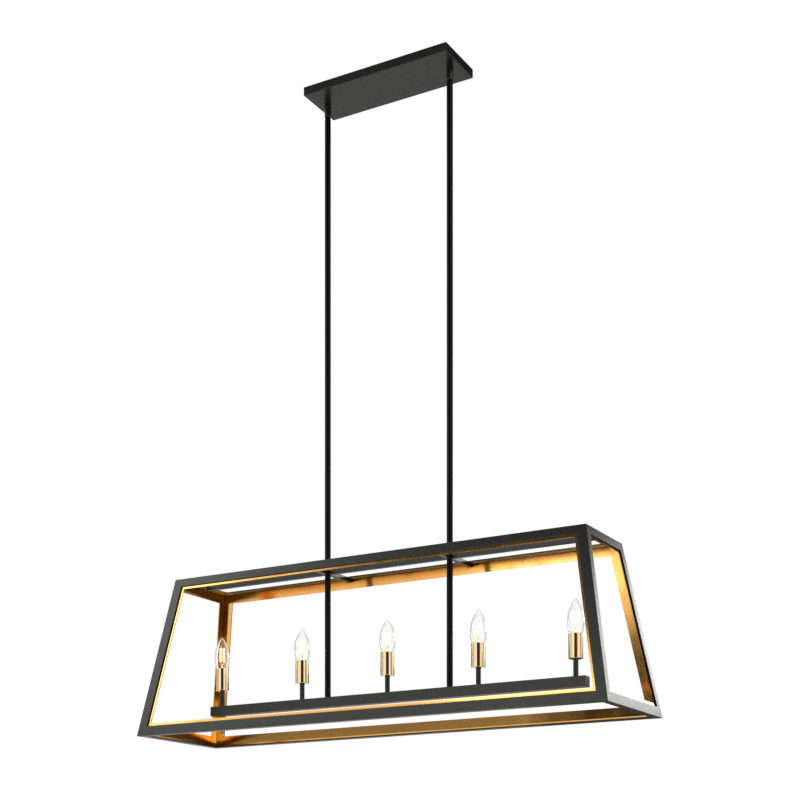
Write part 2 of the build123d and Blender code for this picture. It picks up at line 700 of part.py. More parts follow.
flat_radius = (BALL_RADIUS**2 - BALL_FLAT_HEIGHT**2) ** 0.5
neck_height = (BALL_RADIUS**2 - BALL_NECK_RADIUS**2) ** 0.5
stub_bottom = ROD_TOP - THREAD_ENGAGEMENT

with BuildPart() as swivel_balls:
    for x in ROD_PLACES:
        with BuildSketch(upright_plane(x)):
            with BuildLine():
                Polyline(
                    (BALL_NECK_RADIUS, PIVOT - neck_height),
                    (BALL_NECK_RADIUS, ROD_TOP),
                    (ROD_BORE_RADIUS, ROD_TOP),
                    (ROD_BORE_RADIUS, stub_bottom),
                    (BALL_BORE_RADIUS, stub_bottom),
                    (BALL_BORE_RADIUS, PIVOT),
                    (BALL_BORE_RADIUS + BALL_BORE_FLARE, PIVOT + BALL_FLAT_HEIGHT),
                    (flat_radius, PIVOT + BALL_FLAT_HEIGHT),
                )
                ThreePointArc(
                    (flat_radius, PIVOT + BALL_FLAT_HEIGHT),
                    (BALL_RADIUS, PIVOT),
                    (BALL_NECK_RADIUS, PIVOT - neck_height),
                )
            make_face()
        revolve(axis=Axis((x, 0, 0), (0, 0, 1)))
save(swivel_balls.part, "swivel_balls")

with BuildPart() as swivel_bushes:
    with BuildSketch(Plane.XY.offset(CANOPY_FLOOR)):
        with Locations(*rod_points):
            RegularPolygon(BUSH_HEAD_SIZE / 2, 6, major_radius=False)
    extrude(amount=BUSH_HEAD_HEIGHT)
    with BuildSketch(Plane.XY.offset(-CANOPY_DEPTH - BUSH_REACH)):
        with Locations(*rod_points):
            Circle(CAVITY_RADIUS)
    extrude(amount=BUSH_REACH + CANOPY_WALL)
    with BuildSketch(Plane.XY.offset(-CANOPY_DEPTH - BUSH_REACH)):
        with Locations(*rod_points):
            Circle(BUSH_BORE_RADIUS)
    extrude(amount=BUSH_REACH + CANOPY_WALL + BUSH_HEAD_HEIGHT, mode=Mode.SUBTRACT)
save(swivel_bushes.part, "swivel_bushes")

# ------------------------------------------------------------------ canopy and its fixings

canopy_screw_points = [(-CANOPY_SCREW_SPACING / 2, 0), (CANOPY_SCREW_SPACING / 2, 0)]
countersink_depth = SCREW_HEAD_RADIUS - SCREW_RADIUS

with BuildPart() as canopy:
    with BuildSketch(Plane.XY.offset(-CANOPY_DEPTH)):
        Rectangle(CANOPY_LENGTH, CANOPY_WIDTH)
    extrude(amount=CANOPY_DEPTH)
    with BuildSketch(Plane.XY.offset(CANOPY_FLOOR)):
        Rectangle(CANOPY_LENGTH - 2 * CANOPY_WALL, CANOPY_WIDTH - 2 * CANOPY_WALL)
    extrude(amount=CANOPY_DEPTH - CANOPY_WALL, mode=Mode.SUBTRACT)
    with BuildSketch(Plane.XY.offset(-CANOPY_DEPTH)):
        with Locations(*rod_points):
            Circle(CAVITY_RADIUS + THREAD_HOLE_CLEARANCE)
        with Locations(*canopy_screw_points):
            Circle(SCREW_RADIUS + THREAD_HOLE_CLEARANCE)
    extrude(amount=CANOPY_WALL, mode=Mode.SUBTRACT)
    with BuildSketch(Plane.XY.offset(-CANOPY_DEPTH)):
        with Locations(*canopy_screw_points):
            Circle(SCREW_HEAD_RADIUS)
    extrude(amount=countersink_depth, taper=45, mode=Mode.SUBTRACT)
save(canopy.part, "canopy")

with BuildPart() as canopy_screws:
    with BuildSketch(Plane.XY.offset(-CANOPY_DEPTH)):
        with Locations(*canopy_screw_points):
            Circle(SCREW_RADIUS)
    extrude(amount=CANOPY_DEPTH - MOUNTING_BAR_GAUGE / 4)
    for x, y in canopy_screw_points:
        with BuildSketch(upright_plane(x)):
            with BuildLine():
                Polyline(
                    (0, -CANOPY_DEPTH),
                    (SCREW_HEAD_RADIUS, -CANOPY_DEPTH),
                    (SCREW_RADIUS, -CANOPY_DEPTH + countersink_depth),
                    (0, -CANOPY_DEPTH + countersink_depth),
                    close=True,
                )
            make_face()
        revolve(axis=Axis((x, y, 0), (0, 0, 1)))
    with BuildSketch(Plane.XY.offset(-CANOPY_DEPTH)):
        with Locations(*canopy_screw_points):
            RegularPolygon(SCREW_SOCKET_RADIUS, 6)
    extrude(amount=SCREW_SOCKET_DEPTH, mode=Mode.SUBTRACT)
save(canopy_screws.part, "canopy_screws")

with BuildPart() as mounting_bar:
    with BuildSketch(Plane.XY):
        Rectangle(MOUNTING_BAR_LENGTH, MOUNTING_BAR_WIDTH)
    extrude(amount=-MOUNTING_BAR_GAUGE)
    with BuildSketch(Plane.XY.offset(-MOUNTING_BAR_GAUGE)):
        with Locations(*canopy_screw_points):
            Circle(WELD_NUT_RADIUS)
    extrude(amount=-WELD_NUT_HEIGHT)
    with BuildSketch(Plane.XY):
        with Locations((-BOX_SCREW_SPACING / 2, 0), (BOX_SCREW_SPACING / 2, 0)):
            SlotOverall(BOX_SLOT_LENGTH, BOX_SLOT_WIDTH)
        with Locations(*canopy_screw_points, GROUND_SCREW_PLACE):
            Circle(SCREW_RADIUS)
        Circle(SUPPLY_HOLE_RADIUS)
    extrude(amount=-MOUNTING_BAR_GAUGE - WELD_NUT_HEIGHT, mode=Mode.SUBTRACT)
save(mounting_bar.part, "mounting_bar")

ground_wire_level = -MOUNTING_BAR_GAUGE - WIRE_RADIUS
ground_head_top = -MOUNTING_BAR_GAUGE - 2 * WIRE_RADIUS

with BuildPart() as ground_screw:
    with BuildSketch(Plane.XY.offset(ground_head_top)):
        with Locations(GROUND_SCREW_PLACE):
            Circle(GROUND_HEAD_RADIUS)
    extrude(amount=-GROUND_HEAD_HEIGHT)
    with BuildSketch(Plane.XY.offset(ground_head_top)):
        with Locations(GROUND_SCREW_PLACE):
            Circle(SCREW_RADIUS)
    extrude(amount=-ground_head_top)
save(ground_screw.part, "ground_screw")

# ------------------------------------------------------------------ wires


def bend_radii(points):
    """The largest bend that fits between the runs beside each corner, within the wire's limits."""
    radii = []
    for before, here, after in zip(points, points[1:], points[2:]):
        back = Vector(*before) - Vector(*here)
        onward = Vector(*after) - Vector(*here)
        turn = radians(180 - back.get_angle(onward))
        run = min(back.length, onward.length)
        largest = 0.45 * run * cos(turn / 2) / sin(turn / 2)
        radii.append(max(SMALLEST_WIRE_BEND, min(largest, LARGEST_WIRE_BEND)))
    return radii


def wire(points):
    """One insulated wire along straight runs joined by tangent arcs."""
    radii = bend_radii(points)
    print("wire bends:", [round(radius, 1) for radius in radii])
    with BuildPart() as strand:
        with BuildLine() as route:
            FilletPolyline(*points, radius=radii)
        with BuildSketch(Plane(origin=route.line @ 0, z_dir=route.line % 0)):
            Circle(WIRE_RADIUS)
        sweep()
    return strand.part


left_rod, right_rod = ROD_PLACES
fixed_end = PIVOT + PIVOT_GAP
moving_end = PIVOT - PIVOT_GAP
connector_mouth = left_rod + CONNECTOR_DISTANCE

# Two wires rise out of the left swivel, part, and end in the connectors.
supply_pair = [
    wire([
        (left_rod, side * WIRE_OFFSET, fixed_end),
        (left_rod, side * WIRE_OFFSET, -WIRE_LEVEL),
        ((left_rod + connector_mouth) / 2, side * CONNECTOR_OFFSET, -WIRE_LEVEL),
        (connector_mouth + CONNECTOR_LENGTH / 2, side * CONNECTOR_OFFSET, -WIRE_LEVEL),
    ])
    for side in (-1, 1)
]
# The ground wire rises out of the right swivel and ends beside the ground screw.
ground_x, ground_y = GROUND_SCREW_PLACE
ground_side = ground_y - SCREW_RADIUS - WIRE_RADIUS
climb_end = ground_x + GROUND_WIRE_END
ground_lead = wire([
    (right_rod, 0, fixed_end),
    (right_rod, 0, -WIRE_LEVEL),
    (right_rod - GROUND_WIRE_START, ground_side + GROUND_WIRE_SWAY, -WIRE_LEVEL),
    (climb_end + GROUND_WIRE_CLIMB, ground_side - GROUND_WIRE_SWAY, -WIRE_LEVEL),
    (climb_end, ground_side, ground_wire_level),
    (ground_x - GROUND_HEAD_RADIUS, ground_side, ground_wire_level),
])
with BuildPart() as supply_leads:
    add(supply_pair)
    add(ground_lead)
save(supply_leads.part, "supply_leads")

with BuildPart() as wire_connectors:
    for side in (-1, 1):
        wire_end = (connector_mouth, side * CONNECTOR_OFFSET, -WIRE_LEVEL)
        mouth = Plane(origin=wire_end, z_dir=(1, 0, 0))
        with BuildSketch(mouth):
            Circle(CONNECTOR_MOUTH_RADIUS)
        with BuildSketch(mouth.offset(CONNECTOR_LENGTH)):
            Circle(CONNECTOR_TIP_RADIUS)
        loft()
        with BuildSketch(mouth):
            Circle(WIRE_RADIUS)
        extrude(amount=CONNECTOR_LENGTH / 2, mode=Mode.SUBTRACT)
save(wire_connectors.part, "wire_connectors")

# The pair runs down the left rod and along the light bar, with a riser into every socket.
bus_level = LIGHT_BAR_BOTTOM + LIGHT_BAR_WALL + 2 * WIRE_RADIUS
first_candle, last_candle = CANDLE_PLACES[0], CANDLE_PLACES[-1]
lamp_pairs = []
for side in (-1, 1):
    y = side * WIRE_OFFSET
    trunk = wire([
        (left_rod, y, moving_end),
        (left_rod, y, bus_level),
        (first_candle, y, bus_level),
        (first_candle, y, NIPPLE_TOP),
    ])
    onward = wire([
        (left_rod - 2 * LARGEST_WIRE_BEND, y, bus_level),
        (last_candle, y, bus_level),
        (last_candle, y, NIPPLE_TOP),
    ])
    with BuildPart() as pair_half:
        add(trunk)
        add(onward)
        with BuildSketch(Plane.XY.offset(bus_level)):
            with Locations(*[(x, y) for x in CANDLE_PLACES[1:-1]]):
                Circle(WIRE_RADIUS)
        extrude(amount=NIPPLE_TOP - bus_level)
    lamp_pairs.append(pair_half.part)
with BuildPart() as lamp_wiring:
    add(lamp_pairs)
    with BuildSketch(Plane.XY.offset(NIPPLE_BOTTOM)):
        with Locations((right_rod, 0)):
            Circle(WIRE_RADIUS)
    extrude(amount=moving_end - NIPPLE_BOTTOM)
save(lamp_wiring.part, "lamp_wiring")
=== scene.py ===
# %% [markdown]
# # A linear island pendant
#
# This lesson dresses a finished CAD model of a ceiling light: a tapered open frame of black
# angle bars with gold liners, five candle lamps on a square bar, and two rigid rods under a
# shallow canopy. The CAD model gives every place and size. Blender adds what a drawing lacks:
# soft edges, turned metal, blown glass, glowing filaments, paint and light.
#
# The first cell loads the model as a frame that nothing here may move. Sizes below are
# written in millimetres and multiplied by `MM`, because Blender works in metres.

# %% Load the frame
import json
from math import acos, asin, cos, degrees, pi, radians, sin

import bmesh
import bpy
from mathutils import Matrix, Vector


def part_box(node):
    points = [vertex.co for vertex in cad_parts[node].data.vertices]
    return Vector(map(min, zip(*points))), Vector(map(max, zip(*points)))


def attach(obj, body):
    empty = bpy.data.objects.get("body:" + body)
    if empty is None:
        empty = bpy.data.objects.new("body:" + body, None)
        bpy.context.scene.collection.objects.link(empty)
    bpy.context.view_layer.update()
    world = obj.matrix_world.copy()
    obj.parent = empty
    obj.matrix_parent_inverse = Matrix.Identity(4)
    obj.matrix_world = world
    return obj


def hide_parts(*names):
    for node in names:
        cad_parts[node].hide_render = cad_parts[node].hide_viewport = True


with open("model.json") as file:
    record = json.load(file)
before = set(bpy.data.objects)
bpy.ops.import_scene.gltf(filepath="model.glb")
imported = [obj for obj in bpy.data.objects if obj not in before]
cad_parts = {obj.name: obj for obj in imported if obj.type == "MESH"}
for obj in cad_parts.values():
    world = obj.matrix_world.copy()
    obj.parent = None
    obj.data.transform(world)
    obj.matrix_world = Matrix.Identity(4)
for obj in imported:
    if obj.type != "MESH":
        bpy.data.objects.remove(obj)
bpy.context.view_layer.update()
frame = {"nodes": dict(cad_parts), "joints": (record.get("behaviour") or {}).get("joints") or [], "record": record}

MM = 0.001
nodes_by_body = frame["record"]["behaviour"]["bodies"]
body_of_node = {node: body for body, nodes in nodes_by_body.items() for node in nodes}
slot_of_node = {part["node"]: part["material_slot"] for part in frame["record"]["subparts"]}

# %% [markdown]
# ## The camera
#
# The photograph looks up at the pendant from about 3 metres away, a little below it, and yet
# every post and rod stays upright in the picture. That is a level camera whose lens is shifted
# upwards, as architects use. The place, turn and lens come from matching the corners of the
# frame in the picture, so the camera is written down as measured and never aimed by eye.

# %% Camera
CAMERA_PLACE = (1.5825, -2.6947, -1.6966)
CAMERA_TURN = 0.522872          # radians from the pendant's cross axis
FOCAL_PIXELS = 1547.99
HORIZON_ROW = 919.19            # the row at the camera's own height, below the picture
PICTURE_SIZE = 800
SENSOR_WIDTH = 36.0


def linked(name, data):
    """A new object in the scene."""
    thing = bpy.data.objects.new(name, data)
    bpy.context.scene.collection.objects.link(thing)
    return thing


camera_data = bpy.data.cameras.new("camera")
camera_data.sensor_width = SENSOR_WIDTH
camera_data.lens = FOCAL_PIXELS * SENSOR_WIDTH / PICTURE_SIZE
camera_data.shift_y = (HORIZON_ROW - PICTURE_SIZE / 2) / PICTURE_SIZE
camera = linked("camera", camera_data)
camera.location = CAMERA_PLACE
camera.rotation_euler = (pi / 2, 0, CAMERA_TURN)
bpy.context.scene.camera = camera
bpy.context.scene.view_settings.view_transform = "Standard"
print("lens", round(camera_data.lens, 2), "mm, shift", round(camera_data.shift_y, 4))

# %% [markdown]
# ## Small tools for materials
#
# Every finish below is a Principled shader with a little life in it. Paint is never one
# colour, and metal is never equally smooth. The helpers make noise in the object's own
# coordinates, in millimetres of grain size, so a pattern keeps its scale on every piece.

# %% Material helpers
def new_finish(name, metallic=0.0):
    """A material with one Principled shader, ready for its nodes."""
    material = bpy.data.materials.new(name)
    material.use_nodes = True
    shader = material.node_tree.nodes["Principled BSDF"]
    shader.inputs["Metallic"].default_value = metallic
    return material, material.node_tree, shader


def grain(tree, size, stretch=(1, 1, 1), detail=3.0):
    """Noise whose blobs are about `size` millimetres, drawn out along the ways in `stretch`."""
    place = tree.nodes.new("ShaderNodeTexCoord")
    mapping = tree.nodes.new("ShaderNodeMapping")
    mapping.inputs["Scale"].default_value = [1 / (size * MM * way) for way in stretch]
    noise = tree.nodes.new("ShaderNodeTexNoise")
    noise.inputs["Scale"].default_value = 1.0
    noise.inputs["Detail"].default_value = detail
    tree.links.new(place.outputs["Object"], mapping.inputs["Vector"])
    tree.links.new(mapping.outputs["Vector"], noise.inputs["Vector"])
    return noise.outputs["Fac"]


def spread(tree, value, low, high, start=0.3, end=0.7):
    """The middle of a noise's range, spread out from `low` to `high`."""
    node = tree.nodes.new("ShaderNodeMapRange")
    for name, number in (("From Min", start), ("From Max", end), ("To Min", low), ("To Max", high)):
        node.inputs[name].default_value = number
    tree.links.new(value, node.inputs["Value"])
    return node.outputs["Result"]


def between(tree, factor, first, second):
    """A colour between two others."""
    node = tree.nodes.new("ShaderNodeMix")
    node.data_type = "RGBA"
    node.inputs["A"].default_value = (*first, 1)
    node.inputs["B"].default_value = (*second, 1)
    tree.links.new(factor, node.inputs["Factor"])
    return node.outputs["Result"]


def relief(tree, shader, height, depth):
    """Bumps of `depth` millimetres on a shader's surface."""
    node = tree.nodes.new("ShaderNodeBump")
    node.inputs["Distance"].default_value = depth * MM
    tree.links.new(height, node.inputs["Height"])
    tree.links.new(node.outputs["Normal"], shader.inputs["Normal"])


# %% [markdown]
# ## Paint
#
# The frame is powder coated: a dry black with a fine orange-peel surface that spreads
# reflections. The rods are a deeper black that reflects less. Both have a slow drift in
# colour, a quicker drift in roughness, bumps of two hundredths of a millimetre, and a sheen
# that leans a little to green.

# %% Paint finishes
PAINT_SHEEN = (0.97, 1.0, 0.93, 1)


def paint(name, dark, light, smooth, rough, peel_size, peel_depth, gloss=0.5):
    """A painted metal: two close tones, two roughnesses and an orange-peel surface."""
    material, tree, shader = new_finish(name)
    shader.inputs["Specular IOR Level"].default_value = gloss
    shader.inputs["Specular Tint"].default_value = PAINT_SHEEN
    tone = spread(tree, grain(tree, size=60.0), 0, 1)
    tree.links.new(between(tree, tone, dark, light), shader.inputs["Base Color"])
    tree.links.new(spread(tree, grain(tree, size=5.0), smooth, rough), shader.inputs["Roughness"])
    relief(tree, shader, grain(tree, peel_size, detail=2.0), peel_depth)
    return material


black_paint = paint(
    "black_paint", (0.005, 0.0056, 0.0048), (0.009, 0.0098, 0.0085),
    smooth=0.27, rough=0.34, peel_size=1.6, peel_depth=0.02, gloss=0.55,
)
rod_paint = paint(
    "rod_paint", (0.0035, 0.0035, 0.0035), (0.006, 0.006, 0.0055),
    smooth=0.28, rough=0.36, peel_size=1.6, peel_depth=0.02, gloss=0.12,
)
green_screw = paint(
    "green_screw", (0.02, 0.16, 0.05), (0.03, 0.24, 0.08),
    smooth=0.25, rough=0.4, peel_size=0.8, peel_depth=0.02,
)
print("paints:", black_paint.name, rod_paint.name, green_screw.name)

# %% [markdown]
# ## Gold and brass
#
# The liners are satin gold: the strip is brushed along its length before it is plated, so
# the scratches run along each bar. Stretched noise makes those scratches, and one material
# is made for each way that a bar can run. An Ambient Occlusion node paints shade into the
# gold's colour, so it is darker near an inside corner. The candle sleeves are spun and
# polished, so their lines run round them instead and are far fainter.

# %% Metal finishes
def metal(name, dark, light, smooth, rough, stretch, scratch_size, scratch_depth, painted_shade_reach=0.0):
    """A bare or plated metal whose scratches are drawn out by `stretch`.

    With the last argument, a reach in millimetres, inside corners get painted shade: the colour is darker within
    that reach.
    """
    material, tree, shader = new_finish(name, metallic=1.0)
    scratches = grain(tree, scratch_size, stretch, detail=4.0)
    tone = spread(tree, scratches, 0, 1)
    colour = between(tree, tone, dark, light)
    # Painted shade: an Ambient Occlusion node darkens the colour in inside corners.
    if painted_shade_reach:
        corner = tree.nodes.new("ShaderNodeAmbientOcclusion")
        corner.inputs["Distance"].default_value = painted_shade_reach * MM
        tree.links.new(colour, corner.inputs["Color"])
        colour = corner.outputs["Color"]
    tree.links.new(colour, shader.inputs["Base Color"])
    tree.links.new(spread(tree, grain(tree, size=45.0), smooth, rough), shader.inputs["Roughness"])
    relief(tree, shader, scratches, scratch_depth)
    return material


SCRATCH_RATIO = 60
# The gold gets painted shade within three millimetres of an inside corner.
gold_along = {
    way: metal(
        f"gold_brushed_{name}", (0.86, 0.44, 0.105), (0.96, 0.54, 0.165), smooth=0.11, rough=0.18,
        stretch=[SCRATCH_RATIO if other == way else 1 for other in range(3)],
        scratch_size=1.6, scratch_depth=0.03, painted_shade_reach=3.0,
    )
    for way, name in enumerate(("lengthways", "crossways", "upright"))
}
polished_brass = metal(
    "polished_brass", (0.94, 0.73, 0.42), (0.98, 0.80, 0.50),
    smooth=0.03, rough=0.07, stretch=(40, 40, 1), scratch_size=0.5, scratch_depth=0.001,
)
plated_steel = metal(
    "plated_steel", (0.52, 0.52, 0.50), (0.63, 0.63, 0.60),
    smooth=0.22, rough=0.38, stretch=(8, 1, 1), scratch_size=0.8, scratch_depth=0.01,
)
base_metal = metal(
    "base_metal", (0.62, 0.60, 0.55), (0.74, 0.71, 0.66),
    smooth=0.16, rough=0.3, stretch=(1, 1, 1), scratch_size=3.0, scratch_depth=0.01,
)
solder = metal(
    "solder", (0.50, 0.50, 0.48), (0.62, 0.61, 0.58),
    smooth=0.3, rough=0.5, stretch=(1, 1, 1), scratch_size=1.2, scratch_depth=0.05,
)
print("metals:", [material.name for material in gold_along.values()], polished_brass.name)

# %% [markdown]
# ## Plastics, glass and light
#
# The envelope is clear blown glass with the faintest haze of handling. Where the wall is seen
# edge on, light crosses more glass and comes out greyer, which draws the bulb's outline. The
# filaments are white hot rods in a yellow phosphor that lets some of what is behind it
# through, and their ends and the bead on the stem glow orange.

# %% Plastic, glass and filament finishes
def plastic(name, dark, light, smooth, rough):
    """A moulded plastic."""
    material, tree, shader = new_finish(name)
    tone = spread(tree, grain(tree, size=9.0), 0, 1)
    tree.links.new(between(tree, tone, dark, light), shader.inputs["Base Color"])
    tree.links.new(spread(tree, grain(tree, size=3.0), smooth, rough), shader.inputs["Roughness"])
    relief(tree, shader, grain(tree, size=0.8), depth=0.02)
    return material


phenolic = plastic("phenolic", (0.022, 0.018, 0.015), (0.035, 0.030, 0.026), 0.35, 0.5)
wire_insulation = plastic("wire_insulation", (0.03, 0.03, 0.03), (0.05, 0.05, 0.05), 0.3, 0.45)
connector_plastic = plastic("connector_plastic", (0.70, 0.20, 0.03), (0.80, 0.27, 0.05), 0.3, 0.42)

GLASS_FACE_TINT = (0.975, 0.975, 0.965)
GLASS_EDGE_TINT = (0.52, 0.53, 0.51)
clear_glass, glass_tree, glass_shader = new_finish("clear_glass")
rim = glass_tree.nodes.new("ShaderNodeLayerWeight")
rim.inputs["Blend"].default_value = 0.5
edge_share = spread(glass_tree, rim.outputs["Facing"], 0, 1, start=0.25, end=0.95)
glass_tint = between(glass_tree, edge_share, GLASS_FACE_TINT, GLASS_EDGE_TINT)
glass_tree.links.new(glass_tint, glass_shader.inputs["Base Color"])
glass_shader.inputs["Transmission Weight"].default_value = 1.0
glass_shader.inputs["IOR"].default_value = 1.47
haze = spread(glass_tree, grain(glass_tree, size=12.0), 0.0, 0.02, start=0.45, end=0.8)
glass_tree.links.new(haze, glass_shader.inputs["Roughness"])


HOT_SPOT = 1.15                 # how much brighter the hottest spots glow


def glowing(name, colour, strength, noise_size, cover=1.0):
    """A surface that gives off light, a little unevenly, and covers what is behind it."""
    material, tree, shader = new_finish(name)
    shader.inputs["Alpha"].default_value = cover
    shader.inputs["Base Color"].default_value = (*colour, 1)
    shader.inputs["Roughness"].default_value = 0.5
    tone = spread(tree, grain(tree, noise_size), 0, 1)
    hot = between(tree, tone, colour, [min(1, channel * HOT_SPOT) for channel in colour])
    tree.links.new(hot, shader.inputs["Emission Color"])
    shader.inputs["Emission Strength"].default_value = strength
    return material


filament_core = glowing("filament_core", (1.0, 0.88, 0.62), strength=7.0, noise_size=2.0)
filament_end = glowing("filament_end", (1.0, 0.40, 0.07), strength=1.1, noise_size=1.0)
phosphor = glowing("phosphor", (1.0, 0.68, 0.24), strength=1.0, noise_size=1.5, cover=0.7)
print("glass and light:", clear_glass.name, filament_core.name, filament_end.name, phosphor.name)

# %% [markdown]
# ## Finishes for the CAD pieces
#
# Each CAD piece names a material slot in the record. The dictionary below maps a slot to the
# finish made above, and every CAD piece gets its finish on its own object. Pieces that are
# redrawn later hide the CAD piece that they stand for.

# %% Give the CAD pieces their finishes
finish_of_slot = {
    "black_paint": black_paint,
    "rod_paint": rod_paint,
    "gold": gold_along[0],
    "polished_brass": polished_brass,
    "plated_steel": plated_steel,
    "phenolic": phenolic,
    "base_metal": base_metal,
    "solder": solder,
    "clear_glass": clear_glass,
    "filament": filament_core,
    "wire_insulation": wire_insulation,
    "connector_plastic": connector_plastic,
    "green_screw": green_screw,
}
for node, piece in frame["nodes"].items():
    for place in piece.material_slots:
        place.material = finish_of_slot[slot_of_node[node]]
print(len(frame["nodes"]), "CAD pieces have a finish")

# %% [markdown]
# ## Bars with soft edges
#
# A CAD bar has edges with no radius, and those never catch the light. Rolled steel has an
# edge of half a millimetre, and paint rounds it further. The bars are copied from the CAD
# mesh, merged into clean flat faces, and only the edges that run along a bar are bevelled:
# the mitred ends stay sharp, so that neighbours still meet in a closed seam.

# %% Soften the bars
def add_piece(name, mesh, body, slot, replaced=()):
    """A finished piece that rides on a body and stands for some CAD pieces."""
    piece = linked(name, mesh)
    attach(piece, body)
    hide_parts(*replaced)


def mesh_of(form, name):
    """A finished form as a mesh."""
    mesh = bpy.data.meshes.new(name)
    form.to_mesh(mesh)
    form.free()
    return mesh


def shade_between_corners(mesh, corner):
    """Smooth shading all over a mesh, broken only at corners above an angle."""
    mesh.shade_smooth()
    mesh.set_sharp_from_angle(angle=corner)


def bevelled(form, edges, radius, segments):
    """Rounds edges of a form by a radius in millimetres."""
    bmesh.ops.bevel(
        form, geom=edges, offset=radius * MM, segments=segments, profile=0.5,
        affect="EDGES", clamp_overlap=True,
    )


def merged_copy(node):
    """A CAD piece's mesh with its loose triangles joined into flat faces."""
    form = bmesh.new()
    form.from_mesh(frame["nodes"][node].data)
    bmesh.ops.remove_doubles(form, verts=form.verts, dist=0.002 * MM)
    bmesh.ops.dissolve_limit(form, angle_limit=radians(1), verts=form.verts, edges=form.edges)
    return form


def islands(form):
    """The separate solids of a mesh, each as a set of faces."""
    left = set(form.faces)
    while left:
        found, reached = set(), [left.pop()]
        while reached:
            face = reached.pop()
            found.add(face)
            for edge in face.edges:
                for neighbour in edge.link_faces:
                    if neighbour in left:
                        left.remove(neighbour)
                        reached.append(neighbour)
        yield found


def run_of(faces):
    """The direction of a bar: that of its longest edge."""
    longest = max({edge for face in faces for edge in face.edges}, key=lambda edge: edge.calc_length())
    return (longest.verts[1].co - longest.verts[0].co).normalized()


def result_of(carrier, name):
    """The mesh that an object's modifiers make. The object goes."""
    depsgraph = bpy.context.evaluated_depsgraph_get()
    result = bpy.data.meshes.new_from_object(carrier.evaluated_get(depsgraph))
    bpy.data.objects.remove(carrier)
    result.name = name
    return result


def flat_shaded_flats(mesh):
    """The mesh with normals weighted by area, so a large flat face stays flat beside its bevels."""
    carrier = linked(mesh.name, mesh)
    modifier = carrier.modifiers.new("weigh", "WEIGHTED_NORMAL")
    modifier.weight = 100
    modifier.keep_sharp = True
    return result_of(carrier, mesh.name)


SHARP_CORNER = radians(35)
BEVELLED_CORNER = radians(30)
ALONG_THE_BAR = 0.999           # the least cosine between an edge and the run of its bar


def softened(node, radius, materials):
    """A bar or bars with rounded long edges. The material follows the way each bar runs."""
    form = merged_copy(node)
    long_edges = set()
    for faces in islands(form):
        run = run_of(faces)
        way = max(range(3), key=lambda axis: abs(run[axis]))
        for face in faces:
            face.material_index = way if len(materials) > 1 else 0
            for edge in face.edges:
                along = (edge.verts[1].co - edge.verts[0].co).normalized()
                if abs(along.dot(run)) > ALONG_THE_BAR and edge.calc_face_angle(0) > BEVELLED_CORNER:
                    long_edges.add(edge)
    bevelled(form, list(long_edges), radius, segments=3)
    mesh = mesh_of(form, f"{node}_soft")
    for material in materials:
        mesh.materials.append(material)
    shade_between_corners(mesh, SHARP_CORNER)
    mesh = flat_shaded_flats(mesh)
    add_piece(f"{node}_soft", mesh, body_of_node[node], slot_of_node[node], [node])


BLACK_EDGE_RADIUS = 0.6
GOLD_EDGE_RADIUS = 0.3
black_bars = [
    node for node in frame["nodes"]
    if node.startswith(("post_", "top_rail_", "bottom_rail_"))
    or node in ("light_bar", "light_bar_caps", "top_centre_bar", "cross_bars")
]
gold_bars = ["gold_post_liners", "gold_top_liners", "gold_bottom_liners"]
for node in black_bars:
    softened(node, BLACK_EDGE_RADIUS, [black_paint])
for node in gold_bars:
    softened(node, GOLD_EDGE_RADIUS, list(gold_along.values()))
print(len(black_bars), "black bars and", len(gold_bars), "sets of gold liners softened")

# %% [markdown]
# ## The canopy
#
# The canopy is a shallow box, folded from sheet and open towards the ceiling. A folded sheet
# has a real radius at each bend, and that radius is what the eye reads as sheet metal. So its
# outer edges are bevelled by nearly the thickness of the sheet, and its rim and inside stay
# as they are. An outer edge is one that lies on two of the box's outer faces.

# %% Round the canopy's folds
CANOPY_FOLD_RADIUS = 1.4
NEAR = 0.01 * MM
canopy_low, canopy_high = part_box("canopy")
outer_faces = [
    (0, canopy_low.x), (0, canopy_high.x), (1, canopy_low.y), (1, canopy_high.y), (2, canopy_low.z),
]


def lies_on(edge, axis, level):
    """Whether an edge lies in the plane at a level of an axis."""
    return all(abs(vertex.co[axis] - level) < NEAR for vertex in edge.verts)


form = merged_copy("canopy")
folds = [edge for edge in form.edges if sum(lies_on(edge, *face) for face in outer_faces) == 2]
bevelled(form, folds, CANOPY_FOLD_RADIUS, segments=4)
canopy_mesh = mesh_of(form, "folded_canopy")
canopy_mesh.materials.append(black_paint)
shade_between_corners(canopy_mesh, SHARP_CORNER)
add_piece("folded_canopy", flat_shaded_flats(canopy_mesh), "ceiling", "black_paint", ["canopy"])
print(len(folds), "folds rounded")

# %% [markdown]
# ## Turned pieces
#
# Rods, collars, sleeves and sockets are made on a lathe, so they are made here as on one: an
# outline of radius and height is spun round an upright axis. The function closes the outline,
# so every wall has its thickness, and marks only real corners as sharp.

# %% A lathe
ROUND_STEPS = 64
THREAD_PITCH = 2.54


def thread_ridge(height, angle):
    """How far out a right-hand thread stands at a point, from 0 at its root to 1 at its crest."""
    return 0.5 + 0.5 * cos(2 * pi * height / THREAD_PITCH - angle)


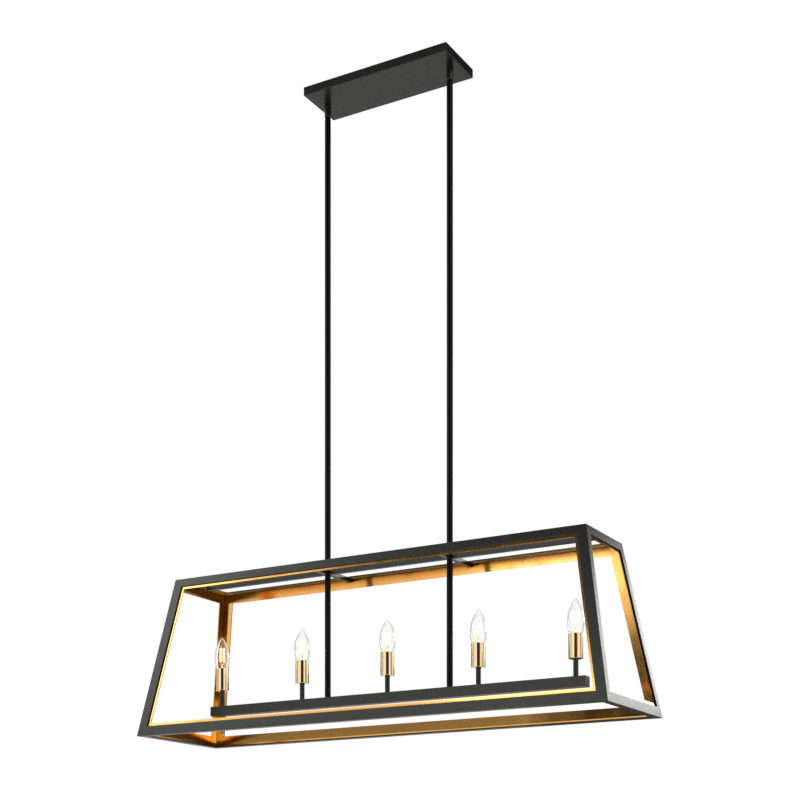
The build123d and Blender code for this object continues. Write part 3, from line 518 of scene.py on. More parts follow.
def turned(name, outline, centre=(0, 0), steps=ROUND_STEPS, material=None, has_flats=True):
    """A closed outline of (radius, height) in millimetres, spun round an upright axis.

    A point may have a third number: the depth of a screw thread that is rolled into it.
    A piece without flats, such as a bulb, is curved all the way and keeps its even shading.
    """
    form = bmesh.new()
    rings = []
    for radius, height, *depth in outline:
        if radius == 0:
            rings.append([form.verts.new((centre[0], centre[1], height * MM))])
            continue
        ring = []
        for step in range(steps):
            angle = 2 * pi * step / steps
            reach = radius + (depth[0] * thread_ridge(height, angle) if depth else 0)
            ring.append(form.verts.new((
                centre[0] + reach * MM * cos(angle), centre[1] + reach * MM * sin(angle), height * MM
            )))
        rings.append(ring)
    for lower, upper in zip(rings, rings[1:] + rings[:1]):
        for step in range(steps):
            after = (step + 1) % steps
            corners = [
                lower[step % len(lower)], lower[after % len(lower)],
                upper[after % len(upper)], upper[step % len(upper)],
            ]
            unique = list(dict.fromkeys(corners))
            if len(unique) > 2:
                form.faces.new(unique)
    bmesh.ops.recalc_face_normals(form, faces=form.faces)
    mesh = mesh_of(form, name)
    if material:
        mesh.materials.append(material)
    shade_between_corners(mesh, SHARP_CORNER)
    return flat_shaded_flats(mesh) if has_flats else mesh


def heights(node):
    """A CAD piece's lowest and highest level, in millimetres."""
    low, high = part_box(node)
    return low.z / MM, high.z / MM


def middle_of(node):
    """The place of a CAD piece's upright axis."""
    low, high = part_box(node)
    return ((low.x + high.x) / 2, (low.y + high.y) / 2)


# %% [markdown]
# ## The rods
#
# Each hanging rod is a tube with a small chamfer where it ends under its swivel. A lathe
# gives it a clean round highlight, which the flat facets of the CAD mesh would break up.

# %% Rods
ROD_RADIUS = 6.2
ROD_BORE = 4.0
ROD_CHAMFER = 0.8
for side in ("left", "right"):
    bottom, top = heights(f"down_rod_{side}")
    outline = [
        (ROD_BORE, bottom), (ROD_RADIUS, bottom), (ROD_RADIUS, top - ROD_CHAMFER),
        (ROD_RADIUS - 0.5 * ROD_CHAMFER, top - 0.2 * ROD_CHAMFER), (ROD_RADIUS - ROD_CHAMFER, top),
        (ROD_BORE, top),
    ]
    mesh = turned(f"hanging_rod_{side}", outline, middle_of(f"down_rod_{side}"), material=rod_paint)
    add_piece(f"hanging_rod_{side}", mesh, "pendant", "rod_paint", [f"down_rod_{side}"])
print("rods from", round(bottom), "to", round(top), "mm")

# %% [markdown]
# ## Rows from Geometry Nodes
#
# The five candles are the same piece at an even pitch. A Geometry Nodes tree says just that:
# it puts the piece that it is given at the points of a line, makes the copies real and sets
# their material. The tree has named inputs, so the same tree makes the row of stems, sleeves
# and sockets. The result is turned into a plain mesh, and the modifier goes.

# %% A tree for rows
def tree_with(name, inputs):
    """An empty Geometry Nodes tree with a geometry socket at each end and named inputs."""
    tree = bpy.data.node_groups.new(name, "GeometryNodeTree")
    tree.interface.new_socket("Geometry", in_out="INPUT", socket_type="NodeSocketGeometry")
    for label, kind in inputs:
        tree.interface.new_socket(label, in_out="INPUT", socket_type=kind)
    tree.interface.new_socket("Geometry", in_out="OUTPUT", socket_type="NodeSocketGeometry")
    return tree


def copies_on(tree, source, points, turn=None, shift=None):
    """Ends a tree: copies of its own geometry on points, made real, with its material."""
    copies = tree.nodes.new("GeometryNodeInstanceOnPoints")
    moved = tree.nodes.new("GeometryNodeTranslateInstances")
    moved.inputs["Local Space"].default_value = False
    real = tree.nodes.new("GeometryNodeRealizeInstances")
    paint_node = tree.nodes.new("GeometryNodeSetMaterial")
    end = tree.nodes.new("NodeGroupOutput")
    tree.links.new(points, copies.inputs["Points"])
    tree.links.new(source.outputs["Geometry"], copies.inputs["Instance"])
    if turn:
        tree.links.new(turn, copies.inputs["Rotation"])
    if shift:
        tree.links.new(shift, moved.inputs["Translation"])
    tree.links.new(copies.outputs["Instances"], moved.inputs["Instances"])
    tree.links.new(moved.outputs["Instances"], real.inputs["Geometry"])
    tree.links.new(real.outputs["Geometry"], paint_node.inputs["Geometry"])
    tree.links.new(source.outputs["Material"], paint_node.inputs["Material"])
    tree.links.new(paint_node.outputs["Geometry"], end.inputs["Geometry"])


row_tree = tree_with("row_of_copies", [
    ("Count", "NodeSocketInt"), ("Start", "NodeSocketVector"), ("Step", "NodeSocketVector"),
    ("Material", "NodeSocketMaterial"),
])
row_start = row_tree.nodes.new("NodeGroupInput")
row_line = row_tree.nodes.new("GeometryNodeMeshLine")
row_line.mode = "OFFSET"
for label, socket in (("Count", "Count"), ("Start", "Start Location"), ("Step", "Offset")):
    row_tree.links.new(row_start.outputs[label], row_line.inputs[socket])
copies_on(row_tree, row_start, row_line.outputs["Mesh"])


def grown(name, mesh, tree, **values):
    """What a tree makes of a mesh, as a plain mesh. The values are the tree's named inputs."""
    carrier = linked(name, mesh)
    modifier = carrier.modifiers.new("grow", "NODES")
    modifier.node_group = tree
    for socket in tree.interface.items_tree:
        if socket.in_out == "INPUT" and socket.name in values:
            modifier[socket.identifier] = values[socket.name]
    result = result_of(carrier, name)
    print(name, "has", len(result.polygons), "faces")
    return result


# %% [markdown]
# ## Swivels, hubs and lower rods
#
# Each rod hangs from a ball in a collar, which lets the pendant find its own plumb line under
# a sloping ceiling. The collar's lower rim curls in under the ball to hold it. Below, a hub
# joins the rod to the stiffeners. Collars, balls and hubs come in twos at the same spacing,
# so each is turned once and the row tree makes the pair. The lower rods, which go on to the
# light bar, are a piece each.

# %% Pairs of turned pieces
left_rod = middle_of("down_rod_left")[0]
right_rod = middle_of("down_rod_right")[0]
pair_values = {"Count": 2, "Start": (left_rod, 0, 0), "Step": (right_rod - left_rod, 0, 0)}


def rounded(radius, height, size, start, end, steps=4):
    """Points of a small quarter round about a centre, between two angles in degrees."""
    return [
        (
            radius + size * cos(radians(start + (end - start) * step / steps)),
            height + size * sin(radians(start + (end - start) * step / steps)),
        )
        for step in range(steps + 1)
    ]


def turned_row(values, name, outline, material, body, slot, node):
    """Copies of a turned piece, in a row with the values given."""
    mesh = grown(name, turned(name, outline), row_tree, Material=material, **values)
    add_piece(name, mesh, body, slot, [node])


BALL_RADIUS = 5.4
BALL_NECK = 3.1
BALL_FLAT = 3.6
BALL_BORE = 2.3
BALL_FLARE = 3.2
CAVITY_RADIUS = 5.7
COLLAR_RADIUS = 6.8
COLLAR_CURL = 2.0
COLLAR_CURL_ANGLE = -70
MOUTH_DEPTH = 3.5
pivot = next(joint for joint in frame["joints"] if joint["name"] == "pendant_swing")["pos_m"][2] / MM
rod_top = heights("down_rod_left")[1]
bottom, top = heights("swivel_collars")
mouth = degrees(asin(MOUTH_DEPTH / CAVITY_RADIUS))
collar_outline = [(CAVITY_RADIUS, top), (COLLAR_RADIUS, top)]
collar_outline += rounded(
    COLLAR_RADIUS - COLLAR_CURL, bottom + COLLAR_CURL, COLLAR_CURL, 0, COLLAR_CURL_ANGLE, 6
)
collar_outline += rounded(0, pivot, CAVITY_RADIUS, -mouth, 0, 8)
turned_row(
    pair_values, "turned_collars", collar_outline, black_paint, "ceiling", "black_paint", "swivel_collars"
)

bottom, top = heights("swivel_balls")
neck_angle = degrees(acos(BALL_NECK / BALL_RADIUS))
flat_angle = degrees(asin(BALL_FLAT / BALL_RADIUS))
ball_outline = [
    (BALL_BORE, bottom), (ROD_BORE, bottom), (ROD_BORE, rod_top), (BALL_NECK, rod_top),
    *rounded(0, pivot, BALL_RADIUS, -neck_angle, flat_angle, 16),
    (BALL_FLARE, pivot + BALL_FLAT), (BALL_BORE, pivot),
]
turned_row(pair_values, "turned_balls", ball_outline, rod_paint, "pendant", "rod_paint", "swivel_balls")

WIRE_BORE = 2.6
HUB_ROUND = 0.4
stub_bottom, stub_top = heights("rod_hubs")
bar_bottom, bar_top = heights("cross_bars")
hub_outline = [(WIRE_BORE, stub_bottom), (ROD_BORE, stub_bottom), (ROD_BORE, bar_bottom)]
hub_outline += rounded(ROD_RADIUS - HUB_ROUND, bar_bottom + HUB_ROUND, HUB_ROUND, -90, 0)
hub_outline += rounded(ROD_RADIUS - HUB_ROUND, bar_top - HUB_ROUND, HUB_ROUND, 0, 90)
hub_outline += [(ROD_BORE, bar_top), (ROD_BORE, stub_top), (WIRE_BORE, stub_top)]
turned_row(pair_values, "turned_hubs", hub_outline, rod_paint, "pendant", "rod_paint", "rod_hubs")

THREAD_ENGAGEMENT = 12.0
light_bar_top = heights("light_bar")[1]
for side, x in (("left", left_rod), ("right", right_rod)):
    bottom, top = heights(f"inner_rod_{side}")
    outline = [(WIRE_BORE, bottom), (ROD_BORE, bottom), (ROD_BORE, light_bar_top)]
    outline += rounded(ROD_RADIUS - HUB_ROUND, light_bar_top + HUB_ROUND, HUB_ROUND, -90, 0)
    outline += rounded(ROD_RADIUS - HUB_ROUND, top - HUB_ROUND, HUB_ROUND, 0, 90)
    outline += [
        (ROD_BORE, top), (ROD_BORE, light_bar_top + THREAD_ENGAGEMENT),
        (WIRE_BORE, light_bar_top + THREAD_ENGAGEMENT),
    ]
    mesh = turned(f"lower_rod_{side}", outline, (x, 0), material=rod_paint)
    add_piece(f"lower_rod_{side}", mesh, "pendant", "rod_paint", [f"inner_rod_{side}"])
print("swivels turn about", round(pivot, 1), "mm; hubs from", round(bar_bottom, 1), "to", round(bar_top, 1))

# %% [markdown]
# ## Stems, sleeves and sockets
#
# A candle is a thin black stem, a polished brass sleeve with a floor, and a moulded lamp
# socket that hides in the sleeve. The sleeve's rim is rounded over by half a millimetre,
# which gives the bright ring that a cut edge never has.

# %% The five candles
CANDLE_COUNT = 5
low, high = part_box("candle_sleeves")
sleeve_radius = (high.y - low.y) / 2 / MM
first_candle = low.x + sleeve_radius * MM
candle_pitch = (high.x - low.x - 2 * sleeve_radius * MM) / (CANDLE_COUNT - 1)
row_values = {"Count": CANDLE_COUNT, "Start": (first_candle, 0, 0), "Step": (candle_pitch, 0, 0)}
SLEEVE_WALL = 1.0
SLEEVE_ROUND = 0.7
SLEEVE_HOLE = 4.0

bottom, top = heights("candle_sleeves")
sleeve_outline = [(SLEEVE_HOLE, bottom)]
sleeve_outline += rounded(sleeve_radius - SLEEVE_ROUND, bottom + SLEEVE_ROUND, SLEEVE_ROUND, -90, 0)
sleeve_outline += rounded(sleeve_radius - SLEEVE_WALL / 2, top - SLEEVE_WALL / 2, SLEEVE_WALL / 2, 0, 180, 8)
sleeve_outline += [(sleeve_radius - SLEEVE_WALL, bottom + SLEEVE_WALL), (SLEEVE_HOLE, bottom + SLEEVE_WALL)]
turned_row(
    row_values, "brass_sleeves", sleeve_outline, polished_brass, "pendant", "polished_brass", "candle_sleeves"
)

STEM_RADIUS = 5.0
STEM_BORE = 4.0
bottom, top = heights("candle_stems")
stem_outline = [(STEM_BORE, bottom), (STEM_RADIUS, bottom), (STEM_RADIUS, top), (STEM_BORE, top)]
turned_row(row_values, "black_stems", stem_outline, black_paint, "pendant", "black_paint", "candle_stems")

SOCKET_RADIUS = 10.0
SOCKET_BORE = 6.3
SOCKET_FLOOR = 8.0
SOCKET_THREAD = 4.0
SOCKET_THREAD_DEPTH = 6.0
SOCKET_ROUND = 1.2
TAB_RADIUS = 2.0
TAB_HEIGHT = 4.5
bottom, top = heights("sockets")
socket_outline = [
    (0, bottom + SOCKET_THREAD_DEPTH), (SOCKET_THREAD, bottom + SOCKET_THREAD_DEPTH),
    (SOCKET_THREAD, bottom), (SOCKET_RADIUS, bottom),
]
socket_outline += rounded(SOCKET_RADIUS - SOCKET_ROUND, top - SOCKET_ROUND, SOCKET_ROUND, 0, 90)
socket_outline += [
    (SOCKET_BORE, top), (SOCKET_BORE, bottom + SOCKET_FLOOR), (TAB_RADIUS, bottom + SOCKET_FLOOR),
    (TAB_RADIUS, bottom + SOCKET_FLOOR + TAB_HEIGHT), (0, bottom + SOCKET_FLOOR + TAB_HEIGHT),
]
turned_row(row_values, "lamp_sockets", socket_outline, phenolic, "pendant", "phenolic", "sockets")

# %% [markdown]
# ## The bulbs
#
# A candle bulb is a torpedo of thin glass on a screw base. Its side is three arcs that flow
# into each other, so the outline is worked out from the arcs and then turned, once for the
# outer face and once for the inner one, because glass only looks like glass with a real wall.
# Each bulb turns in its socket, so each is a piece of its own on its own body.

# %% Envelopes
GLASS_RADIUS = 16.25
GLASS_NECK = 6.6
GLASS_LENGTH = 82.0
GLASS_BELLY = 38.0
GLASS_TIP = 1.6
GLASS_LEAST_TIP = 0.5
GLASS_WALL = 0.8
ARC_STEPS = 16


def arc(centre, radius, start, end):
    """Points on an arc, with angles in radians, without the last one."""
    return [
        (
            centre[0] + radius * cos(start + (end - start) * step / ARC_STEPS),
            centre[1] + radius * sin(start + (end - start) * step / ARC_STEPS),
        )
        for step in range(ARC_STEPS)
    ]


def torpedo_side(neck_height, inset):
    """One side of the envelope from neck to tip, `inset` inside its outer face."""
    belly = neck_height + GLASS_BELLY
    rise = GLASS_LENGTH - GLASS_TIP - GLASS_BELLY
    reach = GLASS_RADIUS - GLASS_TIP
    upper = (rise * rise + reach * reach) / (2 * reach)
    shrink = GLASS_RADIUS - GLASS_NECK
    lower = (GLASS_BELLY**2 + shrink * shrink) / (2 * shrink)
    lean_low = -Vector((GLASS_NECK - GLASS_RADIUS + lower, -GLASS_BELLY)).angle(Vector((1, 0)))
    lean_high = Vector((GLASS_TIP - GLASS_RADIUS + upper, rise)).angle(Vector((1, 0)))
    side = arc((GLASS_RADIUS - lower, belly), lower - inset, lean_low, 0)
    side += arc((GLASS_RADIUS - upper, belly), upper - inset, 0, lean_high)
    tip = max(GLASS_TIP - inset / 2, GLASS_LEAST_TIP)
    tip_centre = neck_height + GLASS_LENGTH - inset - tip
    side += arc((0, tip_centre), tip, lean_high, pi / 2)
    return side + [(0, neck_height + GLASS_LENGTH - inset)]


for number in range(1, CANDLE_COUNT + 1):
    node = f"bulb_glass_{number}"
    neck = heights(node)[0]
    outline = torpedo_side(neck, 0) + torpedo_side(neck, GLASS_WALL)[::-1]
    mesh = turned(f"envelope_{number}", outline, middle_of(node), material=clear_glass, has_flats=False)
    add_piece(f"envelope_{number}", mesh, f"bulb_{number}", "clear_glass", [node])
print("five envelopes,", len(mesh.polygons), "faces each")

# %% [markdown]
# ## Screw bases
#
# The base is a thin nickel cup with a real screw thread rolled into it, 2.54 mm from turn to
# turn. The lathe above can do this too: a point with a third number moves in and out as the
# angle goes round, a little further on at each row up, and the rows join into a helix. The
# thread fades in and out at its ends. A dot of solder under the cup is the lamp's contact.

# %% Screw bases and contacts
THREAD_DEPTH = 0.35
BASE_RADIUS = 5.9
BASE_WALL = 0.5
BASE_TAPER = 3.0
THREAD_ROWS = 40
THREAD_FADE = 8                 # the thread fades over an eighth of its length at each end
SOLDER_RADIUS = 2.5
SOLDER_ROUND = 1.2
SOLDER_GAP = 0.05               # the cup turns on the dot, so the two must not share a face
core = BASE_RADIUS - THREAD_DEPTH
for number in range(1, CANDLE_COUNT + 1):
    node = f"bulb_base_{number}"
    bottom, top = heights(node)
    start, end = bottom + BASE_TAPER, top - THREAD_PITCH
    outline = [(0, bottom), (SOLDER_RADIUS, bottom), (core, start)]
    for row in range(1, THREAD_ROWS):
        share = row / THREAD_ROWS
        fade = min(1, THREAD_FADE * share, THREAD_FADE * (1 - share))
        outline.append((core, start + (end - start) * share, THREAD_DEPTH * fade))
    outline += [(core, end), (core, top), (core - BASE_WALL, top), (core - BASE_WALL, start), (0, start)]
    mesh = turned(f"screw_base_{number}", outline, middle_of(node), steps=48, material=base_metal)
    add_piece(f"screw_base_{number}", mesh, f"bulb_{number}", "base_metal", [node])
    node = f"bulb_contact_{number}"
    bottom, top = heights(node)
    top -= SOLDER_GAP
    outline = [
        (0, bottom), *rounded(SOLDER_RADIUS - SOLDER_ROUND, bottom + SOLDER_ROUND, SOLDER_ROUND, -90, 0, 6),
        (SOLDER_RADIUS, top), (0, top),
    ]
    mesh = turned(f"solder_dot_{number}", outline, middle_of(node), steps=32, material=solder)
    add_piece(f"solder_dot_{number}", mesh, f"bulb_{number}_contact", "solder", [node])
print("threads of", THREAD_PITCH, "mm pitch on five bases")

# %% [markdown]
# ## Filaments
#
# Four glowing rods stand in a ring on thin wires. A ring of equal pieces is a rule again, so
# a second tree puts copies of one rod on a circle. A rod has a hot middle, cooler ends and
# a coat of phosphor, each of its own material, so each is grown on its own and then joined.

# %% Filaments and their wires
ring_tree = tree_with("ring_of_copies", [
    ("Count", "NodeSocketInt"), ("Radius", "NodeSocketFloat"), ("Centre", "NodeSocketVector"),
    ("Material", "NodeSocketMaterial"),
])
ring_start = ring_tree.nodes.new("NodeGroupInput")
ring_circle = ring_tree.nodes.new("GeometryNodeMeshCircle")
ring_place = ring_tree.nodes.new("GeometryNodeInputPosition")
ring_turn = ring_tree.nodes.new("FunctionNodeAlignRotationToVector")
ring_turn.axis = "X"
ring_turn.pivot_axis = "Z"
ring_tree.links.new(ring_start.outputs["Count"], ring_circle.inputs["Vertices"])
ring_tree.links.new(ring_start.outputs["Radius"], ring_circle.inputs["Radius"])
ring_tree.links.new(ring_place.outputs["Position"], ring_turn.inputs["Vector"])
copies_on(
    ring_tree, ring_start, ring_circle.outputs["Mesh"],
    turn=ring_turn.outputs["Rotation"], shift=ring_start.outputs["Centre"],
)

FILAMENT_COUNT = 4
FILAMENT_RING = 4.7
FILAMENT_RADIUS = 0.9
FILAMENT_START = 28.0
FILAMENT_LENGTH = 31.0
FILAMENT_COOL = 2.5
FILAMENT_END_RADIUS = 0.8 * FILAMENT_RADIUS
PHOSPHOR_RADIUS = 1.4
SUPPORT_RADIUS = 0.3
BEAD_RADIUS = 0.8
POST_RADIUS = 1.6
PINCH_RADIUS = 5.0
JOINED_CORNER = radians(40)

# Points of (reach, height), and beads of (low, high). MOUNT_BASE counts from the glass's neck,
# MOUNT_TIP and FOOT from where the rods start, and HEAD from where they end.
MOUNT_BASE = ((0, 0), (PINCH_RADIUS, 0), (PINCH_RADIUS, 0.8), (POST_RADIUS + 0.6, 3), (POST_RADIUS, 8))
MOUNT_TIP = ((POST_RADIUS, -6), (0.9, -4.6), (0, -4.4))
FOOT_WIRE = ((-4.1, -5), (-2.9, -4.2), (-1.1, -1.8), (0, 0.5))
HEAD_WIRE = ((-4.5, -2.4), (-3.1, -1.9), (-1.3, -0.3), (0, -0.5))
FOOT_BEAD = (-5.2, -2.6)
HEAD_BEAD = (-3.0, -1.8)


def rod_outline(radius, bottom, top):
    """A solid rod with softened ends."""
    ends = radius / 2
    return (
        [(0, bottom)] + rounded(radius - ends, bottom + ends, ends, -90, 0)
        + rounded(radius - ends, top - ends, ends, 0, 90) + [(0, top)]
    )


def raised(points, level):
    """Points of (reach, height) with their heights counted from a level."""
    return [(reach, level + height) for reach, height in points]


def bent_wire(name, points, radius, steps=8):
    """A thin wire through points of (reach, height), with a round section at each."""
    form = bmesh.new()
    places = [Vector((reach * MM, 0, height * MM)) for reach, height in points]
    across = Vector((0, 1, 0))
    rings = []
    for index, place in enumerate(places):
        along = (places[min(index + 1, len(places) - 1)] - places[max(index - 1, 0)]).normalized()
        out = Vector((along.z, 0, -along.x))
        ring = []
        for step in range(steps):
            angle = 2 * pi * step / steps
            ring.append(form.verts.new(place + radius * MM * (cos(angle) * out + sin(angle) * across)))
        rings.append(ring)
    for lower, upper in zip(rings, rings[1:]):
        for step in range(steps):
            after = (step + 1) % steps
            form.faces.new((lower[step], lower[after], upper[after], upper[step]))
    form.faces.new(rings[0])
    form.faces.new(rings[-1])
    bmesh.ops.recalc_face_normals(form, faces=form.faces)
    return mesh_of(form, name)


def joined(name, meshes):
    """Several meshes as one, each with its own material."""
    form = bmesh.new()
    result = bpy.data.meshes.new(name)
    for index, mesh in enumerate(meshes):
        before = len(form.faces)
        form.from_mesh(mesh)
        form.faces.ensure_lookup_table()
        for face in form.faces[before:]:
            face.material_index = index
        result.materials.append(next(material for material in mesh.materials if material))
    form.to_mesh(result)
    form.free()
    return result


for number in range(1, CANDLE_COUNT + 1):
    node = f"bulb_filament_{number}"
    x, y = middle_of(f"bulb_glass_{number}")
    neck = heights(f"bulb_glass_{number}")[0]
    start, end = neck + FILAMENT_START, neck + FILAMENT_START + FILAMENT_LENGTH
    ring = {"Count": FILAMENT_COUNT, "Radius": FILAMENT_RING * MM, "Centre": (x, y, 0)}
    cool = FILAMENT_COOL
    hot = turned("hot", rod_outline(FILAMENT_RADIUS, start + cool, end - cool), steps=16)
    coat = turned("coat", rod_outline(PHOSPHOR_RADIUS, start + cool / 2, end - cool / 2), steps=16)
    pieces = [
        grown("hot_rods", hot, ring_tree, Material=filament_core, **ring),
        grown("phosphor_coats", coat, ring_tree, Material=phosphor, **ring),
    ]
    for foot in (start, end - cool):
        tip = turned("tip", rod_outline(FILAMENT_END_RADIUS, foot, foot + cool), steps=16)
        pieces.append(grown("cool_ends", tip, ring_tree, Material=filament_end, **ring))
    for label, line, level in (("foot_wires", FOOT_WIRE, start), ("head_wires", HEAD_WIRE, end)):
        wire = bent_wire(label, raised(line, level), SUPPORT_RADIUS)
        pieces.append(grown(label, wire, ring_tree, Material=base_metal, **ring))
    mount_outline = raised(MOUNT_BASE, neck) + raised(MOUNT_TIP, start)
    pieces.append(turned("mount", mount_outline, (x, y), steps=24, material=clear_glass))
    beads = ((FOOT_BEAD, start, filament_end), (HEAD_BEAD, end, base_metal))
    for (low_end, high_end), level, material in beads:
        bead = rod_outline(BEAD_RADIUS, level + low_end, level + high_end)
        pieces.append(turned("bead", bead, (x, y), steps=16, material=material))
    mesh = joined(f"filaments_{number}", pieces)
    shade_between_corners(mesh, JOINED_CORNER)
    add_piece(f"filaments_{number}", mesh, f"bulb_{number}", "filament", [node])
print("four filaments in each bulb")

# %% [markdown]
# ## Wire connectors
#
# Inside the canopy, each supply wire ends in a twist-on connector: a plastic cone with grip
# ribs round it. The ribs are a ring, so the ring tree makes them on an upright cone, and the
# whole is then laid along the canopy. Only someone on the ceiling side sees them.

# %% Ribbed connectors
CONNECTOR_LENGTH = 20.0
CONNECTOR_MOUTH = 5.0
CONNECTOR_TIP = 3.4
CONNECTOR_ROUND = 1.5
SKIRT_LENGTH = 2.0
SKIRT_SLOPE_END = 4.5
SKIRT_STEP = 0.8
RIB_COUNT = 12
RIB_RADIUS = 0.45
RIB_RING = 4.2
RIB_START = 3.5
RIB_MARGIN = 2.0
WIRE_RADIUS = 1.0
low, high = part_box("wire_connectors")
cone_outline = [
    (WIRE_RADIUS, 0), (CONNECTOR_MOUTH, 0), (CONNECTOR_MOUTH, SKIRT_LENGTH),
    (CONNECTOR_MOUTH - SKIRT_STEP, SKIRT_SLOPE_END),
    *rounded(CONNECTOR_TIP - CONNECTOR_ROUND, CONNECTOR_LENGTH - CONNECTOR_ROUND, CONNECTOR_ROUND, 0, 90, 6),
    (0, CONNECTOR_LENGTH), (0, CONNECTOR_LENGTH / 2), (WIRE_RADIUS, CONNECTOR_LENGTH / 2),
]
rib = turned("rib", rod_outline(RIB_RADIUS, RIB_START, CONNECTOR_LENGTH - RIB_MARGIN), steps=8)
ribs = {"Count": RIB_COUNT, "Radius": RIB_RING * MM, "Centre": (0, 0, 0), "Material": connector_plastic}
connectors = []
for side in (-1, 1):
    cone = turned("cone", cone_outline, steps=48, material=connector_plastic)
    whole = joined("connector", [cone, grown("connector_ribs", rib, ring_tree, **ribs)])
    lay = Matrix.Translation((low.x, side * (high.y - CONNECTOR_MOUTH * MM), (low.z + high.z) / 2))
    whole.transform(lay @ Matrix.Rotation(pi / 2, 4, "Y"))
    connectors.append(whole)
mesh = joined("ribbed_connectors", connectors)
shade_between_corners(mesh, JOINED_CORNER)
add_piece("ribbed_connectors", mesh, "ceiling", "connector_plastic", ["wire_connectors"])
print("two connectors with", RIB_COUNT, "ribs each")

# %% [markdown]
# ## Background and floor
#
# The object hangs in plain white. The world shows white to the camera, to glossy rays and
# through glass, and gives everything else a softer grey light. The floor is pale and far
# below, and is treated in the same way: what is seen or mirrored of it gets a little extra
# light, and what falls on the pendant from it doesn't change.

# %% Background and floor
FLOOR_LEVEL = -2.5
FLOOR_REACH = 12.0
FLOOR_SHADE = 0.84
FLOOR_LIFT = 0.3
WORLD_LIGHT = 0.55
SHEET_DRIFT = 0.98
SHEET_ROUGHNESS = 0.95


def seen_directly(tree):
    """1 where a ray comes from the camera, a reflection or through glass, and 0 elsewhere."""
    rays = tree.nodes.new("ShaderNodeLightPath")
    seen = rays.outputs["Is Camera Ray"]
    for kind in ("Is Glossy Ray", "Is Transmission Ray"):
        either = tree.nodes.new("ShaderNodeMath")
        either.operation = "MAXIMUM"
        tree.links.new(seen, either.inputs[0])
        tree.links.new(rays.outputs[kind], either.inputs[1])
        seen = either.outputs["Value"]
    return seen


world = bpy.data.worlds.new("studio")
bpy.context.scene.world = world
world.use_nodes = True
background = world.node_tree.nodes["Background"]
background.inputs["Color"].default_value = (1, 1, 1, 1)
brightness = spread(world.node_tree, seen_directly(world.node_tree), WORLD_LIGHT, 1.0, 0, 1)
world.node_tree.links.new(brightness, background.inputs["Strength"])


def studio_sheet(name, corners, faces, shade):
    """A matt sheet of one grey, which belongs to the studio and not to the pendant."""
    mesh = bpy.data.meshes.new(name)
    mesh.from_pydata(corners, [], faces)
    material, tree, shader = new_finish(name)
    tone = grain(tree, size=300.0)
    tree.links.new(between(tree, tone, [shade] * 3, [shade * SHEET_DRIFT] * 3), shader.inputs["Base Color"])
    shader.inputs["Roughness"].default_value = SHEET_ROUGHNESS
    mesh.materials.append(material)
    sheet = linked(name, mesh)
    return sheet, tree, shader


floor_corners = [
    (x * FLOOR_REACH, y * FLOOR_REACH, FLOOR_LEVEL) for x, y in ((-1, -1), (1, -1), (1, 1), (-1, 1))
]
floor_tree, floor_shader = studio_sheet("floor", floor_corners, [(0, 1, 2, 3)], FLOOR_SHADE)[1:]
floor_shader.inputs["Emission Color"].default_value = (1, 1, 1, 1)
lift = spread(floor_tree, seen_directly(floor_tree), 0.0, FLOOR_LIFT, 0, 1)
floor_tree.links.new(lift, floor_shader.inputs["Emission Strength"])
print("floor at", FLOOR_LEVEL, "m, world light", WORLD_LIGHT)

# %% [markdown]
# ## Soft lamps and dark cards
#
# A polished thing shows the room around it, so a photographer builds the room. Two large
# soft lamps, at the front left and at the back right, draw the pale sheen on the left of the
# frame and on its right end. Two small ones stand in front, one above the frame and one level
# with it. A wide one lies below. Dark cards give the reflections something to end at: one
# behind the camera makes the black line down every sleeve, high ones keep the canopy's edges
# black, and low ones turn the lower part of the gold brown. Only reflections see the cards.
# A place in the studio is a turn round the pendant, from the front towards the right, and a
# height. A card is listed with its turns, heights, shade and, if it stands closer, its reach.

# %% Lamps and cards
STUDIO_REACH = 3.4
CARD_STEPS = 12


def studio_place(turn, height, reach=STUDIO_REACH):
    """A place round the pendant, from a turn in degrees and a height in metres."""
    return Vector((reach * sin(radians(turn)), -reach * cos(radians(turn)), height))


def soft_lamp(name, place, aim, size, power):
    """A large rectangular lamp that faces a point."""
    data = bpy.data.lights.new(name, "AREA")
    data.shape = "RECTANGLE"
    data.size, data.size_y = size
    data.energy = power
    lamp = linked(name, data)
    lamp.location = place
    lamp.rotation_euler = (Vector(aim) - place).to_track_quat("-Z", "Y").to_euler()
    lamp.visible_camera = False


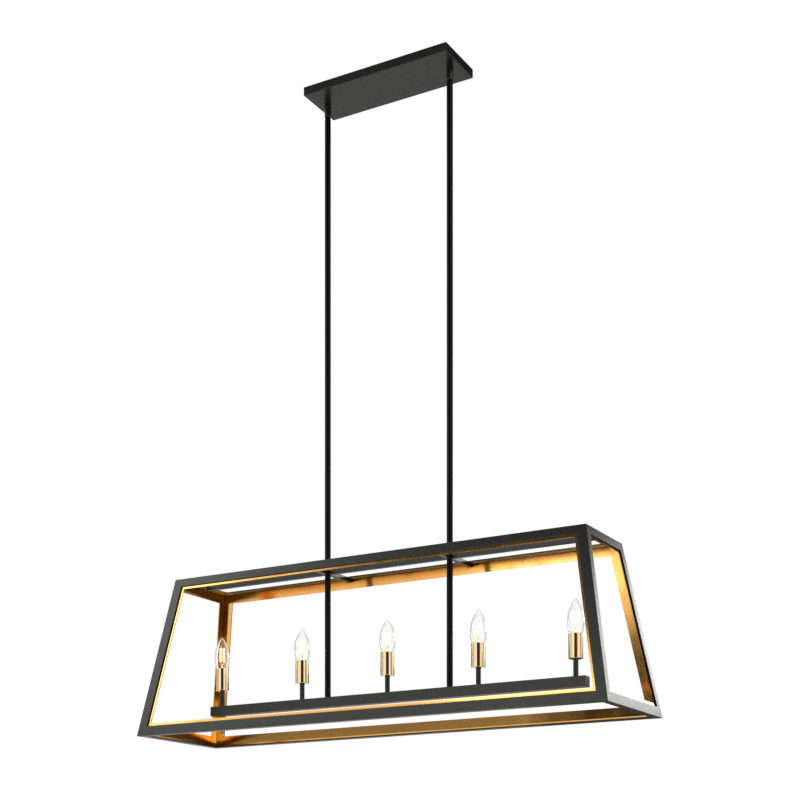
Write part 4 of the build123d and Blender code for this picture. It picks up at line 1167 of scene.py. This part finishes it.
def card(name, turns, levels, shade, reach=STUDIO_REACH):
    """A curved sheet between two turns and two heights, which only reflections see."""
    corners = [
        studio_place(turns[0] + (turns[1] - turns[0]) * step / CARD_STEPS, level, reach)
        for level in levels for step in range(CARD_STEPS + 1)
    ]
    row = CARD_STEPS + 1
    faces = [(step, step + 1, row + step + 1, row + step) for step in range(CARD_STEPS)]
    sheet = studio_sheet(name, corners, faces, shade)[0]
    sheet.visible_camera = False
    sheet.visible_diffuse = False
    sheet.visible_transmission = False
    sheet.visible_shadow = False


FRAME_MIDDLE = (0, 0, -1.14)
soft_lamp("front_left_lamp", studio_place(-57, 0.45, 3.2), FRAME_MIDDLE, (1.5, 1.3), 16)
soft_lamp("front_reveal_lamp", studio_place(-18, 0.0, 3.3), FRAME_MIDDLE, (0.9, 0.4), 2.8)
soft_lamp("front_strip_lamp", studio_place(-19, -1.22, 3.3), FRAME_MIDDLE, (0.6, 0.38), 1.0)
soft_lamp("back_right_lamp", studio_place(160, -0.32, 3.1), (0.5, 0, -1.15), (1.3, 0.58), 11)
soft_lamp("low_lamp", studio_place(20, -2.3, 1.0), (0, 0, -0.6), (2.0, 1.2), 8)
cards = {
    "card_behind_camera": ((6, 54), (-1.7, 0.25), 0.03),
    "card_high_front": ((-36, 54), (0.45, 2.8), 0.03),
    "card_high_left": ((-80, -36), (1.35, 2.8), 0.03),
    "card_high_back": ((115, 215), (0.1, 2.8), 0.03),
    "card_low_front": ((-22, 6), (-2.4, -1.42), 0.03),
    "card_low_left": ((-80, -23), (-2.4, -1.5), 0.45),
    "card_low_camera": ((6, 54), (-2.4, -1.7), 0.05),
    "card_low_back": ((100, 200), (-2.4, -1.12), 0.08),
    "card_far": ((174, 250), (-1.2, 0.2), 0.04),
    "card_left_grey": ((-64, -44), (-1.2, -0.25), 0.6),
    "card_left_edge": ((-152, -86), (-1.2, 0.2), 0.1),
    "card_right_grey": ((92, 116), (-1.2, -0.25), 0.6),
    "card_right_edge": ((147, 176), (-1.12, -0.64), 0.2),
    "card_floor_back": ((165, 235), (-2.48, -1.9), 0.06, 2.4),
}
for name, values in cards.items():
    card(name, *values)
print("five lamps and", len(cards), "cards")
